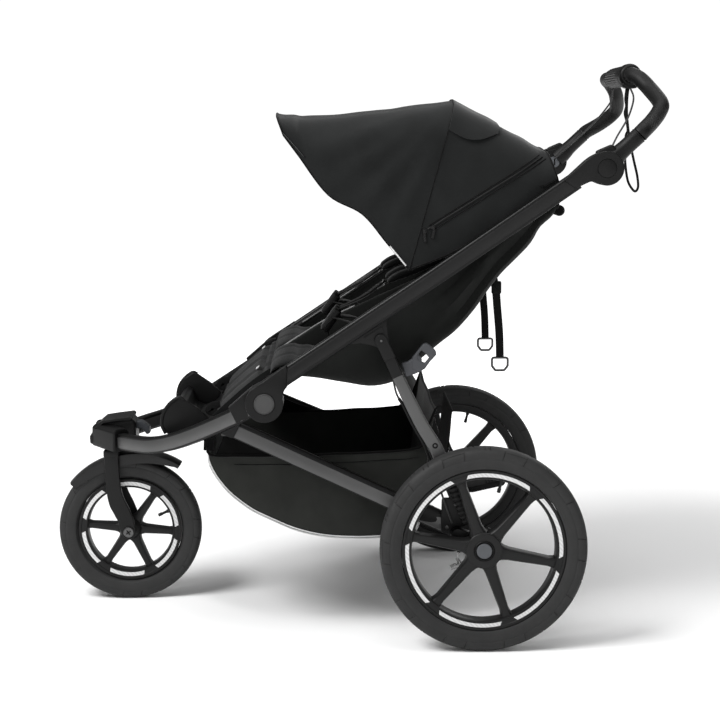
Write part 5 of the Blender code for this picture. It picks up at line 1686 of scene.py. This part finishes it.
def hood_flap(side_name, side, shell, rows):
    """Arched flap over a hood's window."""
    flap_rows = []
    for i, row in enumerate(lifted(rows, 0.0034 * side)[:FLAP_STATIONS]):
        share = i / (FLAP_STATIONS - 1)
        open_share = math.sin(math.pi * share)
        row = respaced(above(row, 0.998 - 0.006 * share - 0.012 * open_share), FLAP_COLUMNS)
        for j, near in ((0, 1.0), (1, 0.6), (-1, 1.0), (-2, 0.6)):
            outward = 1 if row[j].x > row[FLAP_COLUMNS // 2].x else -1
            row[j] = row[j] + Vector((outward * 0.005, 0, -0.004)) * near * open_share
        flap_rows.append(row)
    flap = skin(Build(), flap_rows, 0.0016 * side).done(
        f"hood_flap_{side_name}", CANOPY, "upper_frame", "canopy_fabric", 50)
    declare_sheet(flap_rows)


@sided
def canopies(side_name, side):
    """Each canopy: a visor, a hood and a flap over its window."""
    visor(side_name, side)
    hood_flap(side_name, side, *hood(side_name, side))


def tray_rows(bottom, top, half, corner, steps, sag, wall_wave, pleats=0.0):
    """Stations of an open cloth tray: down one side, along the floor and up the other side."""
    bottom, top = respaced(curve(bottom, 6), steps), respaced(curve(top, 6), steps)
    rows = []
    for i, (low, high) in enumerate(zip(bottom, top)):
        depth = (high - low).length
        bend = min(corner, 0.7 * depth)
        wall = [(half, depth - (depth - bend) * k / 6) for k in range(6)]
        wall += [(half - bend + bend * c, bend - bend * s) for c, s in
                 ((math.cos(math.radians(a)), math.sin(math.radians(a))) for a in range(0, 91, 15))]
        wall += [((half - bend) * (1 - k / 8), 0.0) for k in range(1, 9)]
        section = wall + [(-x, h) for x, h in wall[-2::-1]]
        up = (high - low).normalized()
        row = []
        for x, h in section:
            floor_share = max(0.0, 1 - h / max(bend, 1e-6))
            drop = sag * floor_share * math.sin(math.pi * min(1.0, abs(x) / half)) ** 2
            point = low + up * (h - drop)
            side_share = 4 * (h / depth) * (1 - h / depth)
            push = wall_wave * side_share * noise.noise(Vector((point.x * 16, point.y * 5, x)))
            pleated = smooth(i / steps, 0.45, 0.62) * smooth(h, 0.0, 0.03) * (1 - smooth(h, 0.09, 0.15))
            push -= pleats * pleated * (0.5 - 0.5 * math.cos(2 * math.pi * h / 0.052))
            row.append(Vector((x + push * (1 if x > 0 else -1),
                               point.x + crumple((x, point.x, point.y), 0.05, 0.0012),
                               point.y + crumple((point.y, x, point.x), 0.06, 0.0016))))
        rows.append(row)
    return rows


def cushion(build, path, low, high, thickness, across=(), along_x=(), channel=0.0045, puff=5.0):
    """Padded panel along a side view path: crowned faces, thin rounded edges and sewn channels.

    across and along_x are the channel lines, as shares of the path and as x values.
    """
    steps, count = CUSHION_STEPS, CUSHION_COLUMNS
    line = respaced(curve(path, 6), steps)
    faces_up = []
    for direction in (1, -1):
        rows = []
        for i, point in enumerate(line):
            u = i / steps
            run = (line[min(i + 1, steps)] - line[max(i - 1, 0)]).normalized()
            normal = Vector((-run.y, run.x))
            row = []
            for j in range(count + 1):
                v = 0.5 - 0.5 * math.cos(math.pi * j / count)
                x = low + (high - low) * v
                crown = (1 - abs(2 * u - 1) ** puff) * (1 - abs(2 * v - 1) ** puff)
                height = thickness / 2 * max(0.0, crown) ** 0.5
                for share in across:
                    height *= 1 - 0.75 * math.exp(-((u - share) * length_of(line) / channel) ** 2)
                for position in along_x:
                    height *= 1 - 0.75 * math.exp(-((x - position) / channel) ** 2)
                height *= 1 + 0.1 * noise.noise(Vector((x * 22, u * 6, direction)))
                spot = point + normal * height * direction
                row.append(Vector((x, spot.x, spot.y)))
            rows.append(row)
        faces_up.append(rows)
    front, back = faces_up
    height, width = steps + 1, count + 1
    faces = grid_faces(height, width) + grid_faces(height, width, start=height * width)
    return build.add([p for row in front + back for p in row], faces)


def strap(build, path, width, thickness, up=(0, 0, 1)):
    """Flat webbing along a few points."""
    return build.sweep(curve(path, 6), flat_section(width, thickness, 0.0006), up)


def seat():
    """Seat hammock under both children, its bound edges and the low wall between the seats."""
    rows = tray_rows(TUB_BOTTOM, TUB_TOP, 0.3045, 0.038, 60, 0.004, 0.008, 0.016)
    hull = skin(Build(), rows, -0.003).done("seat_hammock", SEAT, "upper_frame", "seat_fabric", 50,
                                            ["seat_tub"])
    hems = Build()
    for column in (0, -1):
        hems.tube([row[column] for row in rows], 0.0035, 8, (1, 0, 0))
        hems.tube([row[column] + Vector((0, 0.004, -0.016)) for row in rows[8:-3]], 0.001, 6, (1, 0, 0))
    hems.tube(rows[0], 0.003, 8, (0, 1, 0)).tube(rows[-1], 0.003, 8, (0, 1, 0))
    for side in (1, -1):
        hems.rod((side * 0.04, 0.403, 0.844), (side * 0.29, 0.403, 0.844), 0.0105, 24, 0.004)
    hems = hems.done("seat_hems", LINING, "upper_frame", "seat_fabric", 60)
    wall = Build()
    outline = rounded([(-0.14, 0.533), (-0.138, 0.543), (-0.048, 0.599), (0.06, 0.65), (0.15, 0.69),
                       (0.17, 0.65), (0.105, 0.535), (0.04, 0.512), (-0.08, 0.527)], 0.008, 3)
    wall.panel(outline, -0.005, 0.005, 0.004)
    wall = wall.done("seat_divider", SEAT, "upper_frame", "seat_fabric", 60)
    middle_line = curve([(-0.137, 0.544), (-0.09, 0.574), (-0.048, 0.6), (0.015, 0.63)], 6)
    side_line = curve([(-0.1, 0.56), (-0.02, 0.612), (0.09, 0.685)], 6)
    bead = Build().tube(at_x(0, middle_line), 0.0018, 8, (1, 0, 0))
    for side in (1, -1):
        bead.tube(at_x(side * 0.294, side_line), 0.0014, 8, (1, 0, 0))
    bead = bead.done("seat_piping", TRIM, "upper_frame", "seat_fabric", 60)
    declare_sheet(rows)


@sided
def seat_pads(side_name, side):
    """Padded bottoms and backs of the two seats."""
    run = Vector((0.65, 0.76)).normalized()
    start = Vector((PIVOT["recline_left"].y, PIVOT["recline_left"].z))
    curl = Vector((0.004, -0.003))
    back_line = [tuple(start + run * t + curl * math.sin(t * 9)) for t in (0.0, 0.12, 0.24, 0.355)]
    low, high = sorted((side * 0.013, side * 0.29))
    middle_x = (low + high) / 2
    back = cushion(Build(), back_line, low, high, 0.025, (0.33, 0.66), (middle_x - 0.07, middle_x + 0.07))
    back = back.done(f"back_pad_{side_name}", PAD, f"backrest_{side_name}", "seat_fabric", 60,
                     [f"backrest_{side_name}"])
    line = [(-0.154, 0.529), (-0.142, 0.542), (-0.105, 0.548), (-0.03, 0.532), (0.04, 0.519),
            (0.088, 0.527), (0.108, 0.548)]
    pad = cushion(Build(), line, low, high, 0.022, (0.22, 0.45, 0.7), (middle_x - 0.06, middle_x + 0.06))
    pad = pad.done(f"seat_pad_{side_name}", PAD, "upper_frame", "seat_fabric", 60)


def calf_pad():
    """Padded panel that hangs from the seat's front edge to the footrest, with tabs and loops."""
    line = [(-0.153, 0.527), (-0.174, 0.513), (-0.2, 0.493), (-0.232, 0.465), (-0.264, 0.436)]
    pad = cushion(Build(), line, -0.235, 0.235, 0.022, (0.14, 0.93), (-0.157, -0.0785, 0.0, 0.0785, 0.157))
    pad = pad.done("calf_pad", PAD, None, "seat_fabric", 60, ["calf_rest"])
    tabs, loops, gussets = Build(), Build(), Build()
    turn = Matrix.Rotation(math.radians(38), 3, "X")
    for side in (1, -1):
        tabs.block((side * 0.15, -0.184, 0.5215), (0.022, 0.008, 0.0016), 0.0005, turn)
        strap(loops, [(side * 0.16, -0.26, 0.447), (side * 0.16, -0.276, 0.444),
                      (side * 0.16, -0.282, 0.434), (side * 0.16, -0.266, 0.43)], 0.016, 0.0016, (1, 0, 0))
        strap(gussets, [(side * 0.237, y + 0.011, z - 0.016) for y, z in line], 0.052, 0.002, (1, 0, 0))
    gussets = gussets.done("calf_pad_gussets", PAD, None, "seat_fabric", 60)
    tabs = tabs.done("calf_pad_tabs", REFLECT, None, "webbing")
    loops = loops.done("calf_pad_loops", WEBBING, None, "webbing", 60)
    for piece in (pad, tabs, loops, gussets):
        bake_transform(piece)


def harness_buckle(side_name, x):
    """Buckle of one harness, leaning back, with its round button."""
    lean = Matrix.Rotation(math.radians(-35), 3, "X")
    buckle = Build().block((x, -0.035, 0.619), (0.052, 0.018, 0.052), 0.005, lean)
    buckle.block((x, -0.024, 0.638), (0.038, 0.014, 0.018), 0.004, lean)
    buckle.done(f"harness_buckle_body_{side_name}", DARK_CASTING, "upper_frame", "moulded_plastic", 40,
                [f"harness_buckle_{side_name}"])
    press = Build().spin([(0.0, 0.0), (0.0, 0.0105), (0.002, 0.011), (0.0034, 0.0095), (0.004, 0.0)],
                         (x, -0.0425, 0.613), (0, -0.82, 0.57), 28)
    press.done(f"harness_buckle_button_{side_name}", BUTTON, "upper_frame", "button_plastic", 40)


@sided
def harness(side_name, side):
    """Five-point harness of each seat: crotch strap, buckle, lap straps and padded shoulder straps."""
    x = side * 0.15
    back = f"backrest_{side_name}"
    straps, shoulder, rings = Build(), Build(), Build()
    strap(straps, [(x, -0.032, 0.538), (x, -0.037, 0.565), (x, -0.042, 0.6)], 0.025, 0.002, (0, 1, 0))
    for hand in (1, -1):
        strap(straps, [(x + hand * 0.02, -0.026, 0.624), (x + hand * 0.06, 0.008, 0.618),
                       (x + hand * 0.095, 0.05, 0.6), (x + hand * 0.115, 0.096, 0.59)],
              0.022, 0.002, (0, 0.3, 1))
        strap(shoulder, [(x + hand * 0.013, -0.018, 0.642), (x + hand * 0.026, 0.03, 0.664),
                         (x + hand * 0.04, 0.072, 0.692), (x + hand * 0.048, 0.12, 0.714),
                         (x + hand * 0.052, 0.19, 0.74), (x + hand * 0.052, 0.256, 0.774)],
              0.022, 0.002, (0, -0.3, 1))
        ring = [Vector((x + hand * 0.038 + across, 0.066 + up * 0.8, 0.69 + up * 0.55))
                for across, up in rounded([(-0.014, 0.009), (0.014, 0.009), (0.0, -0.013)], 0.004, 3)]
        rings.tube(ring, 0.0016, 8, (0, -0.5, 1), close=True)
        pad = cushion(Build(), [(0.076, 0.7), (0.102, 0.713), (0.13, 0.723), (0.19, 0.748)],
                      x + hand * 0.048 - 0.022, x + hand * 0.048 + 0.022, 0.015)
        pad = pad.done(f"shoulder_pad_{side_name}_{'outer' if hand == side else 'inner'}", LINING, back,
                       "seat_fabric", 60)
    straps.done(f"harness_webbing_{side_name}", WEBBING, "upper_frame", "webbing", 60)
    shoulder = shoulder.done(f"shoulder_webbing_{side_name}", WEBBING, None, "webbing", 60)
    rings = rings.done(f"harness_rings_{side_name}", DARK_STEEL, None, "steel_part", 60)
    for piece in (shoulder, rings):
        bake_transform(piece)
    harness_buckle(side_name, x)


def basket_flap():
    """Rear flap that stands up behind the basket between the wheels."""
    wall_low = curve([(0.15, 0.25), (0.19, 0.29), (0.216, 0.3267), (0.238, 0.336)], 5)
    wall_high = curve([(0.1636, 0.4317), (0.18, 0.43), (0.2, 0.428), (0.2151, 0.4265)], 5)
    wall_rows = []
    for i in range(13):
        x = -0.12 + 0.24 * i / 12
        wall_rows.append([Vector((x, *low.lerp(high, 0.5 + 0.5 * math.sin(math.pi * (k / 10 - 0.5)))))
                          for k, (low, high) in enumerate(zip(wall_low[-11:], wall_high[-11:]))])
    return skin(Build(), wall_rows, 0.002).done("basket_rear_flap", LINING, None, "basket_fabric", 60)


def basket():
    """Cargo basket: a sagging cloth tub with a bound hem, pale piping, near-black side sheets above the hem
    that are painted shade for the shaded inside of the far wall, and a rear wall.
    """
    rows = tray_rows(BASKET_BOTTOM, BASKET_RIM, 0.248, 0.013, 60, 0.005, 0.008)
    tub = skin(Build(), rows, -0.0022).done("basket_cloth", BASKET, None, "basket_fabric", 50, ["basket"])
    hems, piping, shade_sheets = Build(), Build(), Build()
    for column in (0, -1):
        edge = [row[column] for row in rows]
        sign = 1 if edge[0].x > 0 else -1
        hems.tube(edge, 0.0028, 8, (1, 0, 0))
        walls = [row[:7] if column == 0 else row[-7:][::-1] for row in rows[8:-10]]
        stitched = [along(wall, 0.018 / length_of(wall)) for wall in walls if length_of(wall) > 0.04]
        hems.tube([p + Vector((sign * 0.0006, 0, 0)) for p in stitched], 0.0008, 6, (1, 0, 0))
        for step in (8, 10):
            piping.tube([row[step if column == 0 else -1 - step] + Vector((sign * 0.0014, 0, -0.001))
                         for row in rows[1:48]], 0.0013, 8, (1, 0, 0))
        # painted shade: near-black sheets from the hem up to the lower tube line, standing in for the shaded
        # inside of the far wall seen above the hem
        top = [Vector((sign * x, y, z)) for x, y, z in
               ((0.242, -0.236, 0.429), (0.246, -0.17, 0.402), (0.252, -0.1, 0.371), (0.256, -0.06, 0.361))]
        hem_line = at_x(sign * 0.246, [(-0.264, 0.361), (-0.17, 0.359), (-0.1, 0.36), (-0.062, 0.359)])
        upper, lower = curve(top, 5), curve(hem_line, 5)
        shade_sheet_rows = [[a.lerp(b, k / 6) for k in range(7)] for a, b in zip(upper, lower)]
        skin(shade_sheets, shade_sheet_rows, 0.0018)
        strap(hems, [(sign * 0.247, -0.268, 0.416), (sign * 0.248, -0.276, 0.396),
                     (sign * 0.247, -0.278, 0.37)], 0.02, 0.002, (1, 0, 0))
    hems.tube(rows[0], 0.0026, 8, (0, 1, 0)).tube(rows[-1], 0.0026, 8, (0, 1, 0))
    hems = hems.done("basket_hems", LINING, None, "basket_fabric", 60)
    piping = piping.done("basket_piping", PIPING, None, "basket_fabric", 60)
    shade_sheets = shade_sheets.done("basket_painted_shade_sheets", LINING, None, "basket_fabric", 60)
    rear = basket_flap()
    declare_sheet(rows)
    for piece in (tub, hems, piping, shade_sheets, rear):
        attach(piece, "lower_frame")
        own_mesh(piece)


for make in (wrist_strap, recline_straps, rear_wheels, front_wheel, seat_rails, hubs, handle_joints,
             front_arms, head_housing, swivel_lever, fork, fender, legs, leg_brackets, fold_hook, knuckles,
             cross_tube, suspension, swing_arms, lower_tubes, brake_pedal, brake_lines, grip, handle_arms,
             twist_brake, brake_cables, footrest, canopies, seat, seat_pads, calf_pad, harness, basket):
    make()
